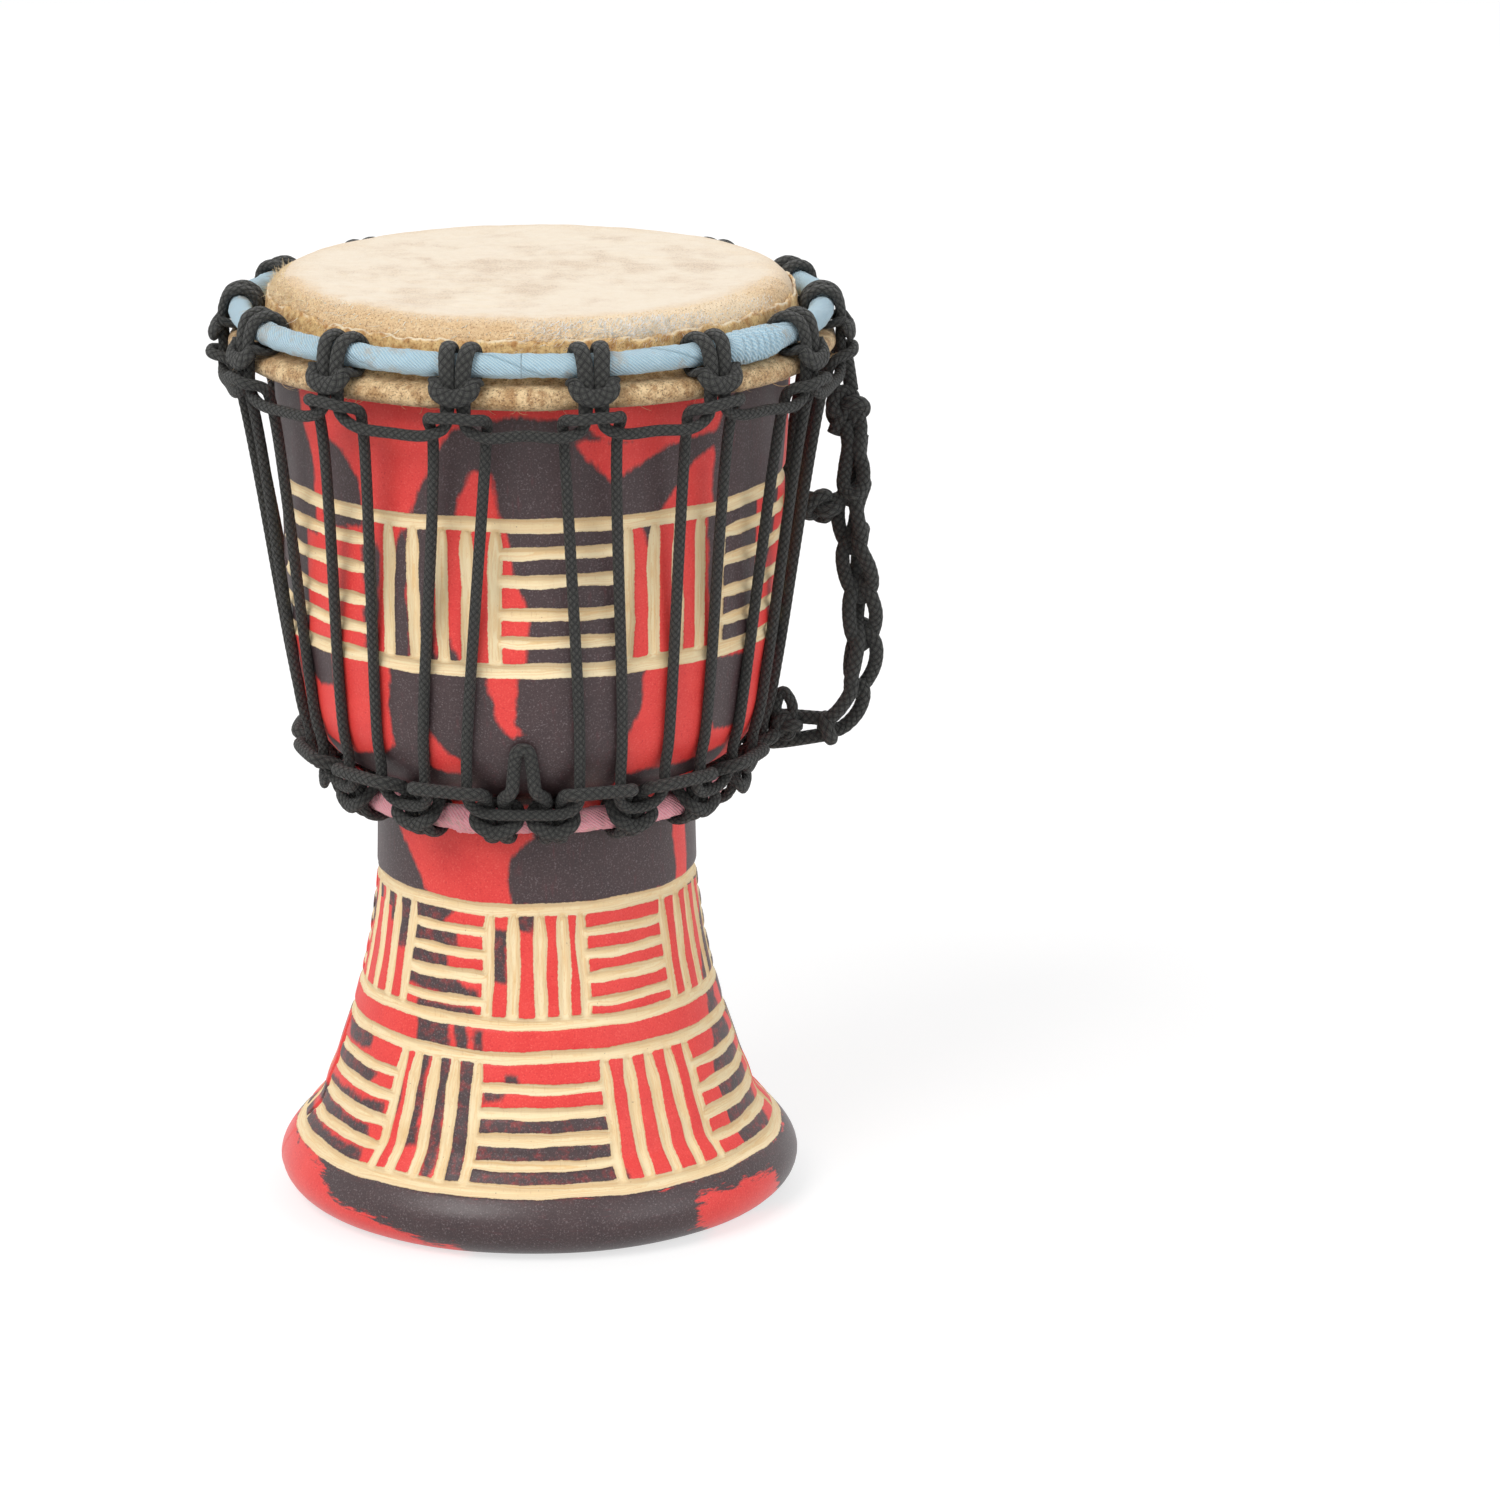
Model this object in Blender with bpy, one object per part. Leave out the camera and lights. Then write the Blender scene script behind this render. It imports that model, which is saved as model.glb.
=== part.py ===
"""Mini djembe: a carved goblet shell with a goatskin head, laced by rope between a
crown ring above a rolled skin edge and a smaller ring under the bowl. A braided
carrying strap hangs down one side. Lengths are in millimetres, angles in degrees.
Angle 0 of the drum is its front, towards -Y, and angles grow towards +X."""

import math

import bmesh
import bpy
from mathutils import Vector

# Driving dimensions
HEIGHT = 300.0
RIM_RADIUS = 81.0
BEARING_EDGE = 6.0
RIM_WALL = 8.5
WAIST_RADIUS = 50.9
THROAT_RADIUS = 36.5
FOOT_RADIUS = 83.7
FOOT_OPENING = 66.5
FOOT_FLAT = 8.0
CUT_DEPTH = 1.0
SKIN = 0.8
ROD = 2.6
FLESH_ROD = 2.0
TAPE = 0.5
ROPE = 3.4
ROPE_FLAT = 2.4
ROPE_WIDE = 4.6
ROPE_NIP = 1.4
FLAP_RISE = 3.2
CROWN_DROP = 10.8
BASE_RING_HEIGHT = 137.4
UNITS = 14
SPARE_LOOP_ANGLE = 16.0
FIRST_BASE_HITCH = 5.5
VERTICAL_SPREAD = 9.0
LOOP_BELOW_ROLL = 5.3
STRAP_DIAMETER = 11.0
STRAP_ROPE = 4.2
KNOT_LENGTH = 14.0
KNOT_WIDTH = 13.0
STOPPER_LENGTH = 14.0
STOPPER_WIDTH = 10.0

# Clearances: between touching pieces, and what faceted rounds need on top of it
CLEARANCE = 0.3
ROPE_SETTLE = 1.0
WINDING_SETTLE = 0.4
SKIN_SETTLE = 0.7
HITCH_SETTLE = 0.2

# Facets
TURNED_SIDES = 36
ROPE_SIDES = 5
ROD_SIDES = 5
TAPE_SIDES = 6

# What follows from them
PITCH = 360.0 / UNITS
BASE_PITCH = (360.0 - SPARE_LOOP_ANGLE) / UNITS
BASE_SPREAD = 0.235 * BASE_PITCH
RIM_TOP = HEIGHT - SKIN - CLEARANCE
WRAPPED = ROD + WINDING_SETTLE + CLEARANCE + TAPE
ROLL = FLESH_ROD + WINDING_SETTLE + CLEARANCE + SKIN
SKIN_SIDE = RIM_RADIUS + CLEARANCE + SKIN / 2
FLAP_RADIUS = SKIN_SIDE + SKIN + SKIN_SETTLE
RING_ROOM = CLEARANCE + ROPE_FLAT + ROPE_SETTLE + WRAPPED
CROWN_HEIGHT = HEIGHT - CROWN_DROP
CROWN_RADIUS = FLAP_RADIUS + SKIN / 2 + RING_ROOM
FLESH_HEIGHT = CROWN_HEIGHT - WRAPPED - ROPE_SETTLE - ROPE_NIP - CLEARANCE - ROLL
FLESH_RADIUS = CROWN_RADIUS + 0.6
BASE_RING_RADIUS = WAIST_RADIUS + 0.3 + HITCH_SETTLE + RING_ROOM

MM = 0.001


def polar(angle, radius, height):
    """The point at this angle round the drum, distance from its axis and height."""
    turn = math.radians(angle)
    return Vector((radius * math.sin(turn), -radius * math.cos(turn), height))


def about(radius, height, distance, direction):
    """A point in the drum's radius-height plane, seen from the centre of a ring's rod."""
    turn = math.radians(direction)
    return (radius + distance * math.cos(turn), height + distance * math.sin(turn))


def make_material(name, colour, roughness, metallic=0.0):
    material = bpy.data.materials.new(name)
    material.use_nodes = True
    shader = material.node_tree.nodes["Principled BSDF"]
    shader.inputs["Base Color"].default_value = (*colour, 1.0)
    shader.inputs["Roughness"].default_value = roughness
    shader.inputs["Metallic"].default_value = metallic
    return material


def add_object(name, mesh_builder, material):
    """Turns the bmesh, drawn in millimetres, into a named object in metres."""
    bmesh.ops.recalc_face_normals(mesh_builder, faces=mesh_builder.faces)
    bmesh.ops.scale(mesh_builder, vec=(MM, MM, MM), verts=mesh_builder.verts)
    mesh = bpy.data.meshes.new(name)
    mesh_builder.to_mesh(mesh)
    mesh_builder.free()
    mesh.shade_smooth()
    mesh.set_sharp_from_angle(angle=math.radians(40.0))
    mesh.materials.append(material)
    made = bpy.data.objects.new(name, mesh)
    bpy.context.scene.collection.objects.link(made)
    return made


def turn(name, profile, material):
    """Spins a closed outline of (radius, height) points round the drum's axis."""
    work = bmesh.new()
    start = PITCH / 2
    corners = [work.verts.new(polar(start, radius, height)) for radius, height in profile]
    edges = []
    for index, corner in enumerate(corners):
        following = corners[(index + 1) % len(corners)]
        if max(profile[index][0], profile[(index + 1) % len(profile)][0]) > 0:
            edges.append(work.edges.new((corner, following)))
    bmesh.ops.spin(
        work, geom=corners + edges, cent=(0, 0, 0), axis=(0, 0, 1), dvec=(0, 0, 0),
        angle=math.tau, steps=TURNED_SIDES, use_merge=True, use_duplicate=False,
    )
    bmesh.ops.remove_doubles(work, verts=work.verts, dist=1e-3)
    return add_object(name, work, material)


def strip(middle, thickness):
    """The closed outline of a sheet of even thickness that follows these middle points."""
    points = [Vector(point) for point in middle]
    runs = [(after - before).normalized() for before, after in zip(points, points[1:])]
    outer = []
    inner = []
    for index, point in enumerate(points):
        before = runs[max(index - 1, 0)]
        after = runs[min(index, len(runs) - 1)]
        along = (before + after).normalized()
        side = Vector((-along.y, along.x)) * thickness / 2 / along.dot(before)
        outer.append(tuple(point + side))
        inner.append(tuple(point - side))
    return outer + inner[::-1]


def laid_rope(name, stations, material):
    """A closed rope through stations of (angle, radius, height, facing, thickness, width).
    Facing is the direction, from straight outwards, that its thin side turns to."""
    centres = [polar(*station[:3]) for station in stations]
    count = len(stations)
    work = bmesh.new()
    rings = []
    for index, (angle, _, _, facing, thick, wide) in enumerate(stations):
        along = (centres[(index + 1) % count] - centres[index - 1]).normalized()
        turned = math.radians(facing)
        out = polar(angle, math.cos(turned), math.sin(turned))
        across = along.cross(out).normalized()
        out = across.cross(along)
        ring = []
        for side in range(ROPE_SIDES):
            phase = math.tau * side / ROPE_SIDES
            offset = across * math.cos(phase) * wide / 2 + out * math.sin(phase) * thick / 2
            ring.append(work.verts.new(centres[index] + offset))
        rings.append(ring)
    for index, ring in enumerate(rings):
        onward = rings[(index + 1) % count]
        for side in range(ROPE_SIDES):
            following = (side + 1) % ROPE_SIDES
            work.faces.new((ring[side], ring[following], onward[following], onward[side]))
    return add_object(name, work, material)


# The shell: one piece of wood, turned and hollowed right through
BOWL_BASE = BASE_RING_HEIGHT + 8.7
BOWL_RISE = RIM_TOP - BEARING_EDGE - BOWL_BASE
BOWL_TURN_RADIUS = BASE_RING_RADIUS + 10.5
CREASE_RADIUS = FOOT_RADIUS - 12.9
CREASE_HEIGHT = 30.0
WAIST_HEIGHT = BASE_RING_HEIGHT - 19.4


def in_bowl(rise, spread):
    """A point of the bowl's side: its share of the way up, and out from turn to rim."""
    radius = BOWL_TURN_RADIUS + (RIM_RADIUS - BOWL_TURN_RADIUS) * spread
    return (radius, BOWL_BASE + BOWL_RISE * rise)


def in_stem(rise, spread):
    """A point of the stem: its share of the way from crease to waist, and out from it."""
    radius = WAIST_RADIUS + (CREASE_RADIUS - WAIST_RADIUS) * spread
    return (radius, CREASE_HEIGHT + (WAIST_HEIGHT - CREASE_HEIGHT) * rise)


def groove(upper, lower):
    """The border cut round a carved band, down to the wood between these two edges."""
    down = (Vector(lower) - Vector(upper)).normalized()
    middle = (Vector(upper) + Vector(lower)) / 2
    bottom = middle + Vector((down.y, -down.x)) * CUT_DEPTH
    return (upper, tuple(bottom), lower)


OUTER_LINE = (
    in_bowl(0.79, 0.98),
    *groove(in_bowl(0.634, 0.885), in_bowl(0.603, 0.87)),
    *groove(in_bowl(0.322, 0.775), in_bowl(0.288, 0.72)),
    in_bowl(0.21, 0.55),
    in_bowl(0.115, 0.32),
    in_bowl(0.057, 0.0),
    (BASE_RING_RADIUS + 0.4, BOWL_BASE),
    (WAIST_RADIUS + 2.3, BOWL_BASE - 2.2),
    (WAIST_RADIUS + 0.3, BASE_RING_HEIGHT + 0.6),
    (WAIST_RADIUS, WAIST_HEIGHT),
    *groove(in_stem(0.889, 0.01), in_stem(0.841, 0.023)),
    *groove(in_stem(0.482, 0.281), in_stem(0.436, 0.334)),
    *groove(in_stem(0.364, 0.415), in_stem(0.319, 0.477)),
    in_stem(0.125, 0.76),
    (CREASE_RADIUS, CREASE_HEIGHT),
    *groove((FOOT_RADIUS - 8.1, 23.4), (FOOT_RADIUS - 4.9, 19.7)),
    (FOOT_RADIUS - 1.3, 14.4),
    (FOOT_RADIUS, 8.6),
    (FOOT_RADIUS - 2.3, 2.8),
    (FOOT_OPENING + FOOT_FLAT, 0.0),
)
INNER_LINE = (
    (FOOT_OPENING, 0.0),
    (FOOT_OPENING - 8.0, 26.0),
    (FOOT_OPENING - 20.0, CREASE_HEIGHT + 30.0),
    (THROAT_RADIUS, WAIST_HEIGHT + 8.0),
    (THROAT_RADIUS + 6.0, BOWL_BASE - 1.6),
    (RIM_RADIUS - RIM_WALL - 12.0, BOWL_BASE + 17.0),
    (RIM_RADIUS - RIM_WALL - 4.0, BOWL_BASE + BOWL_RISE * 0.4),
    (RIM_RADIUS - RIM_WALL, RIM_TOP - 2.0),
)


def shell_radius(height):
    """The shell's outer radius at a height between the waist and the rim."""
    line = [(RIM_RADIUS, RIM_TOP - BEARING_EDGE), *OUTER_LINE]
    for (upper, top), (lower, bottom) in zip(line, line[1:]):
        if bottom <= height <= top:
            return lower + (upper - lower) * (height - bottom) / (top - bottom)
    return RIM_RADIUS


RIM_ARC = (90, 60, 30, 0)


def bearing_edge(radius, directions):
    """Points of an arc about the centre of the rounded bearing edge."""
    centre = (RIM_RADIUS - BEARING_EDGE, RIM_TOP - BEARING_EDGE)
    return [about(*centre, radius, direction) for direction in directions]


def build_shell(material):
    rim = bearing_edge(BEARING_EDGE, RIM_ARC)
    turn("shell", [*rim, *OUTER_LINE, *INNER_LINE], material)


# The head: skin over the bearing edge, rolled round the flesh ring, its edge standing up
def flap_middle():
    """The turned-up skin, which leaves room for the rope that goes round the crown ring."""
    points = []
    for direction, rope in ((252, ROPE_NIP), (228, (ROPE_NIP + ROPE_FLAT) / 2), (204, ROPE_FLAT)):
        clear = WRAPPED + ROPE_SETTLE + rope + CLEARANCE + SKIN / 2
        points.append(about(CROWN_RADIUS, CROWN_HEIGHT, clear, direction))
    points.append((FLAP_RADIUS, CROWN_HEIGHT + 1.0))
    points.append((FLAP_RADIUS, HEIGHT - FLAP_RISE))
    return points


def build_head(material):
    over = bearing_edge(BEARING_EDGE + CLEARANCE + SKIN / 2, RIM_ARC)
    rolled = ROLL - SKIN / 2
    roll = [
        about(FLESH_RADIUS, FLESH_HEIGHT, rolled, direction)
        for direction in (215, 262, 309, 356, 43, 90)
    ]
    side = [(SKIN_SIDE, CROWN_HEIGHT - 1.8)]
    middle = [(0.0, HEIGHT - SKIN / 2), *over, *side, *roll, *flap_middle()]
    outline = strip(middle, SKIN)
    turn("goatskin_head", outline, material)


# The steel rings, and the cotton tape wound on two of them
def build_rod(name, radius, height, rod, material):
    step = 360.0 / ROD_SIDES
    outline = [about(radius, height, rod, step * side) for side in range(ROD_SIDES)]
    turn(name, outline, material)


def build_tape(name, radius, height, material):
    """Tape round a rod, lapped along a seam on the inner side that is left a hair open."""
    seam = 8.0
    step = (360.0 - 2 * seam) / TAPE_SIDES
    directions = [180.0 + seam + step * side for side in range(TAPE_SIDES + 1)]
    outer = [about(radius, height, WRAPPED, direction) for direction in directions]
    inside = WRAPPED - TAPE
    inner = [about(radius, height, inside, direction) for direction in directions[::-1]]
    turn(name, outer + inner, material)


# The rope that ties loops to the crown ring
LEG = ROPE_WIDE / 2 + CLEARANCE + 0.3
LEG_RADIUS = FLESH_RADIUS + ROLL + CLEARANCE + ROPE_FLAT / 2
BAR_RADIUS = LEG_RADIUS + ROPE_FLAT + CLEARANCE + 0.1
LOOP_RADIUS = LEG_RADIUS + 0.2
LOOP_BEND = math.degrees(VERTICAL_SPREAD / LOOP_RADIUS)
LOOP_MIDDLE = LOOP_RADIUS * math.cos(math.radians(PITCH / 2 - LOOP_BEND))
ON_RING = WRAPPED + ROPE_SETTLE + ROPE_FLAT / 2
LOOP_HEIGHT = FLESH_HEIGHT - ROLL - LOOP_BELOW_ROLL - ROPE / 2


def crown_hitch_half():
    """From the middle of a loop, up one leg, round the crown ring and to the bar that
    crosses the legs: (distance along the ring, radius, height, facing, thick, wide)."""
    stations = [
        (math.radians(PITCH / 2) * LOOP_MIDDLE, LOOP_MIDDLE, LOOP_HEIGHT, 0, ROPE, ROPE),
        (VERTICAL_SPREAD, LOOP_RADIUS, LOOP_HEIGHT, 0, ROPE, ROPE),
        (LEG + 0.7, LOOP_RADIUS, LOOP_HEIGHT + 2.6, 0, ROPE, ROPE),
        (LEG, LEG_RADIUS, LOOP_HEIGHT + 8.4, 0, ROPE_FLAT, ROPE_WIDE - 0.4),
    ]
    for direction in (0, 50, 100, 150, 200):
        spot = about(CROWN_RADIUS, CROWN_HEIGHT, ON_RING, direction)
        stations.append((LEG, *spot, direction, ROPE_FLAT, ROPE_WIDE))
    nipped = WRAPPED + ROPE_SETTLE + ROPE_NIP / 2
    for direction, shift in ((250, 1.6), (295, 4.6)):
        spot = about(CROWN_RADIUS, CROWN_HEIGHT, nipped + 0.1, direction)
        stations.append((LEG + shift, *spot, direction, ROPE_NIP, ROPE_WIDE))
    stations += [
        (LEG + 5.4, LEG_RADIUS + 0.3, CROWN_HEIGHT - 4.4, -30, ROPE_FLAT, ROPE_WIDE - 0.4),
        (LEG + 2.8, BAR_RADIUS - 0.1, CROWN_HEIGHT - 7.0, 0, ROPE_FLAT, ROPE_WIDE),
    ]
    middle = (0.0, BAR_RADIUS, CROWN_HEIGHT - 8.3, 0, ROPE_FLAT, ROPE_WIDE)
    return stations, middle


def on_both_sides(stations, middle, centre, shared_start=True):
    """Lays half a hitch on both sides of its centre angle. The distances along the ring
    become angles, and a start that the next hitch shares is laid once."""
    left = [(centre - math.degrees(s[0] / s[1]), *s[1:]) for s in stations]
    right = [(centre + math.degrees(s[0] / s[1]), *s[1:]) for s in stations]
    if shared_start:
        right = right[1:]
    return [*left, (centre, *middle[1:]), *right[::-1]]


def build_crown_lacing(material):
    stations = []
    half, middle = crown_hitch_half()
    for unit in range(UNITS):
        stations += on_both_sides(half, middle, PITCH * (unit + 0.5))
    laid_rope("crown_loop_rope", stations, material)


# The rope that ties loops to the ring under the bowl
BASE_WIDE = ROPE_WIDE - 0.6
BASE_LEG = BASE_WIDE / 2 + CLEARANCE
EAR = BASE_LEG + BASE_WIDE / 2 + CLEARANCE + ROPE / 2 + HITCH_SETTLE
FRONT_RADIUS = BASE_RING_RADIUS + ON_RING
BASE_BAR_RADIUS = FRONT_RADIUS + ROPE_FLAT + CLEARANCE + HITCH_SETTLE
ON_SHELL = CLEARANCE + ROPE / 2 + 0.3
TOUCHING_HEIGHTS = tuple(in_bowl(rise, 0.0)[1] for rise in (0.21, 0.115, 0.06))
VERTICAL_FOOT_RADIUS = shell_radius(TOUCHING_HEIGHTS[-1]) + ON_SHELL + 0.5
BASE_LOOP_RADIUS = VERTICAL_FOOT_RADIUS + ROPE + CLEARANCE + HITCH_SETTLE
BASE_LOOP_HEIGHT = BASE_RING_HEIGHT + 13.1


def base_hitch():
    """The hitch alone, from the top of one leg round the ring to the middle of its bar."""
    stations = [
        (BASE_LEG + 0.5, BASE_RING_RADIUS + 9.0, BASE_RING_HEIGHT + 9.6, 0, ROPE, ROPE),
        (BASE_LEG + 0.3, BASE_RING_RADIUS + 6.4, BASE_RING_HEIGHT + 6.2, 0, ROPE, ROPE),
    ]
    for direction in (0, -50, -100, -150, -200, -250):
        spot = about(BASE_RING_RADIUS, BASE_RING_HEIGHT, ON_RING, direction)
        stations.append((BASE_LEG, *spot, direction, ROPE_FLAT, BASE_WIDE))
    ear = about(BASE_RING_RADIUS, BASE_RING_HEIGHT, ON_RING, -305)
    stations += [
        (EAR - 0.4, *ear, -305, ROPE_FLAT, ROPE),
        (EAR, FRONT_RADIUS + ROPE_FLAT, BASE_RING_HEIGHT + 1.4, -340, ROPE_FLAT, ROPE),
    ]
    middle = (0.0, BASE_BAR_RADIUS, BASE_RING_HEIGHT - 1.5, 0, ROPE_FLAT, BASE_WIDE + 0.2)
    return stations, middle


def base_loop(start, end):
    """A loop that rises from one hitch, crosses a pair of verticals and comes down."""
    middle = (start + end) / 2
    reach = (end - start) / 2
    rise = (
        (reach - 3.0, VERTICAL_FOOT_RADIUS - 0.3, BASE_LOOP_HEIGHT - 1.2),
        (reach - 4.6, BASE_LOOP_RADIUS - 0.8, BASE_LOOP_HEIGHT - 0.3),
        (BASE_SPREAD, BASE_LOOP_RADIUS, BASE_LOOP_HEIGHT),
    )
    left = [(middle - shift, radius, height, 0, ROPE, ROPE) for shift, radius, height in rise]
    right = [(middle + shift, radius, height, 0, ROPE, ROPE) for shift, radius, height in rise]
    return [*left, *right[::-1]]


def spare_loop(start, end):
    """The narrow loop left over where the lacing closes, which stands against the bowl."""
    middle = (start + end) / 2
    low = in_bowl(0.081, 0.0)[1]
    high = in_bowl(0.125, 0.0)[1]
    rise = (
        (5.0, VERTICAL_FOOT_RADIUS + 0.3, BASE_LOOP_HEIGHT + 0.5),
        (3.3, shell_radius(low) + ON_SHELL, low),
        (1.5, shell_radius(high) + ON_SHELL, high),
    )
    left = [(middle - shift, radius, height, 0, ROPE, ROPE) for shift, radius, height in rise]
    right = [(middle + shift, radius, height, 0, ROPE, ROPE) for shift, radius, height in rise]
    return [*left, *right[::-1]]


def base_hitch_angle(index):
    return FIRST_BASE_HITCH + BASE_PITCH * index


def build_base_lacing(material):
    stations = []
    half, middle = base_hitch()
    for index in range(UNITS + 1):
        here = base_hitch_angle(index)
        stations += on_both_sides(half, middle, here, shared_start=False)
        if index < UNITS:
            stations += base_loop(here, here + BASE_PITCH)
    stations += spare_loop(base_hitch_angle(UNITS), base_hitch_angle(UNITS) + SPARE_LOOP_ANGLE)
    laid_rope("base_loop_rope", stations, material)


# The long rope that runs up and down between the two sets of loops
ARCH_RADIUS = LOOP_RADIUS + ROPE + CLEARANCE + 0.3
VERTICAL_TOP_RADIUS = LOOP_RADIUS - ROPE - CLEARANCE - 0.6
BRIDGE_RADIUS = FRONT_RADIUS + ROPE + CLEARANCE + 0.8
BRIDGE_HEIGHT = BASE_RING_HEIGHT + 5.0


def vertical_half(unit, side):
    """From the top of an arch over a crown hitch down to the bridge below a base hitch.
    Side is -1 for the left of the pair and 1 for the right."""
    centre = PITCH * (unit + 0.5)
    below = base_hitch_angle(unit) + BASE_PITCH / 2
    foot = below + side * BASE_SPREAD
    hitch = base_hitch_angle(unit) if side < 0 else base_hitch_angle(unit + 1)
    top = centre + side * LOOP_BEND

    def arch(shift, radius, height):
        return (centre + side * math.degrees(shift / radius), radius, height, 0, ROPE, ROPE)

    stations = [
        arch(VERTICAL_SPREAD - 3.4, ARCH_RADIUS - 0.6, LOOP_HEIGHT + 6.0),
        arch(VERTICAL_SPREAD + 0.3, VERTICAL_TOP_RADIUS + 2.6, LOOP_HEIGHT + 4.5),
        (top, VERTICAL_TOP_RADIUS, LOOP_HEIGHT - 1.0, 0, ROPE, ROPE),
    ]
    for height in TOUCHING_HEIGHTS:
        share = (LOOP_HEIGHT - height) / (LOOP_HEIGHT - TOUCHING_HEIGHTS[-1])
        angle = top + (foot - top) * share
        stations.append((angle, shell_radius(height) + ON_SHELL, height, 0, ROPE, ROPE))
    stations += [
        (foot, VERTICAL_FOOT_RADIUS, BASE_LOOP_HEIGHT - 0.2, 0, ROPE, ROPE),
        (foot - side * 0.1, BRIDGE_RADIUS + 1.6, BRIDGE_HEIGHT + 4.3, 0, ROPE, ROPE),
        (foot + (hitch - foot) * 0.22, BRIDGE_RADIUS + 0.7, BRIDGE_HEIGHT + 1.7, 0, ROPE, ROPE),
        (foot + (hitch - foot) * 0.6, BRIDGE_RADIUS + 0.1, BRIDGE_HEIGHT + 0.3, 0, ROPE, ROPE),
    ]
    return stations


def build_verticals(material):
    stations = []
    for unit in range(UNITS):
        centre = PITCH * (unit + 0.5)
        stations.append((base_hitch_angle(unit), BRIDGE_RADIUS, BRIDGE_HEIGHT, 0, ROPE, ROPE))
        stations += vertical_half(unit, -1)[::-1]
        stations.append((centre, ARCH_RADIUS, LOOP_HEIGHT + 6.4, 0, ROPE, ROPE))
        stations += vertical_half(unit, 1)
    last = base_hitch_angle(UNITS)
    stations.append((last, BRIDGE_RADIUS, BRIDGE_HEIGHT, 0, ROPE, ROPE))
    stations.append((last + SPARE_LOOP_ANGLE / 2, BRIDGE_RADIUS, BRIDGE_HEIGHT, 0, ROPE, ROPE))
    laid_rope("vertical_rope", stations, material)


# The carrying strap: a chain of rope loops that hangs between two ties
STRAP_ROUTE = (
    (101.0, 8.0, 245.0),
    (101.6, 7.0, 238.0),
    (101.2, 6.0, 230.0),
    (100.6, 5.0, 222.0),
    (101.0, 4.5, 214.0),
    (102.3, 4.0, 206.0),
    (103.6, 3.5, 197.0),
    (104.3, 3.0, 188.0),
    (104.4, 2.5, 179.0),
    (103.4, 2.0, 170.5),
    (101.2, 1.5, 162.5),
    (98.2, 1.0, 156.0),
    (94.0, 0.5, 151.5),
    (89.0, 0.0, 150.3),
)

TOP_TIE_ANGLE = 100.5


def make_tube(name, points, radius, resolution, material):
    """A cord along these points, in millimetres, as a bevelled curve with closed ends."""
    curve = bpy.data.curves.new(name, "CURVE")
    curve.dimensions = "3D"
    curve.bevel_depth = radius * MM
    curve.bevel_resolution = resolution
    curve.use_fill_caps = True
    spline = curve.splines.new("POLY")
    spline.points.add(len(points) - 1)
    for place, point in zip(spline.points, points):
        place.co = (*(Vector(point) * MM), 1.0)
    curve.materials.append(material)
    made = bpy.data.objects.new(name, curve)
    bpy.context.scene.collection.objects.link(made)
    return made


def make_knot(name, centre, length, width, material):
    """A hard-drawn knot: a ball with three bulges where its turns lie."""
    work = bmesh.new()
    bmesh.ops.create_icosphere(work, subdivisions=2, radius=1.0)
    for corner in work.verts:
        bulge = 1.0 - 0.06 * math.cos(3 * math.atan2(corner.co.y, corner.co.x) + 5 * corner.co.z)
        corner.co.x *= bulge * width / 2
        corner.co.y *= bulge * width / 2
        corner.co.z *= length / 2
        corner.co += Vector(centre)
    return add_object(name, work, material)


def bight(base, around, along, radius):
    """A doubled strand from base, round a rope that runs along this direction at around
    and back. It passes that rope at this radius."""
    to_base = base - around
    to_base = (to_base - along * to_base.dot(along)).normalized()
    side = along.cross(to_base)
    apart = side * (STRAP_ROPE / 2 + CLEARANCE)
    turn_points = []
    for direction in (75, 115, 150, 180, 210, 245, 285):
        turned = math.radians(direction)
        reach = to_base * math.cos(turned) + side * math.sin(turned)
        turn_points.append(around + reach * radius)
    return [base + apart, *turn_points, base - apart]


def crown_loop_point(angle):
    """A point on the straight run of the loop that hangs over this angle."""
    middle = PITCH * round(angle / PITCH)
    radius = LOOP_MIDDLE / math.cos(math.radians(angle - middle))
    return polar(angle, radius, LOOP_HEIGHT)


def build_strap(strap_material):
    make_tube("carrying_strap", STRAP_ROUTE, STRAP_DIAMETER / 2, 2, strap_material)
    strand = STRAP_ROPE / 2
    grip = ROPE / 2 + CLEARANCE + strand + 0.3
    route = [Vector(point) for point in STRAP_ROUTE]

    knot_centre = route[0] + Vector((-2.0, 3.6, KNOT_LENGTH / 2 + CLEARANCE + 1.0))
    make_knot("strap_top_knot", knot_centre, KNOT_LENGTH, KNOT_WIDTH, strap_material)
    above = knot_centre + Vector((-0.6, 1.0, KNOT_LENGTH / 2 + 1.4))
    along = polar(TOP_TIE_ANGLE + 90.0, 1.0, 0.0)
    path = bight(above, crown_loop_point(TOP_TIE_ANGLE), along, grip)
    make_tube("strap_top_bight", path, strand, 1, strap_material)

    onward = (route[-1] - route[-2]).normalized()
    below = route[-1] + onward * (CLEARANCE + 2.0)
    loop_angle = base_hitch_angle(UNITS // 4) + BASE_PITCH / 2
    along = polar(loop_angle + 90.0, 1.0, 0.0)
    path = bight(below, polar(loop_angle, BASE_LOOP_RADIUS, BASE_LOOP_HEIGHT), along, grip)
    make_tube("strap_bottom_bight", path, strand, 1, strap_material)

    away = Vector((-1.0, -0.2, 0.15)).normalized()
    reach = STRAP_DIAMETER / 2 + CLEARANCE + STOPPER_WIDTH / 2 - 0.3
    beside = route[len(route) // 4] + away * reach
    make_knot("strap_stopper_knot", beside, STOPPER_LENGTH, STOPPER_WIDTH, strap_material)


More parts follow.
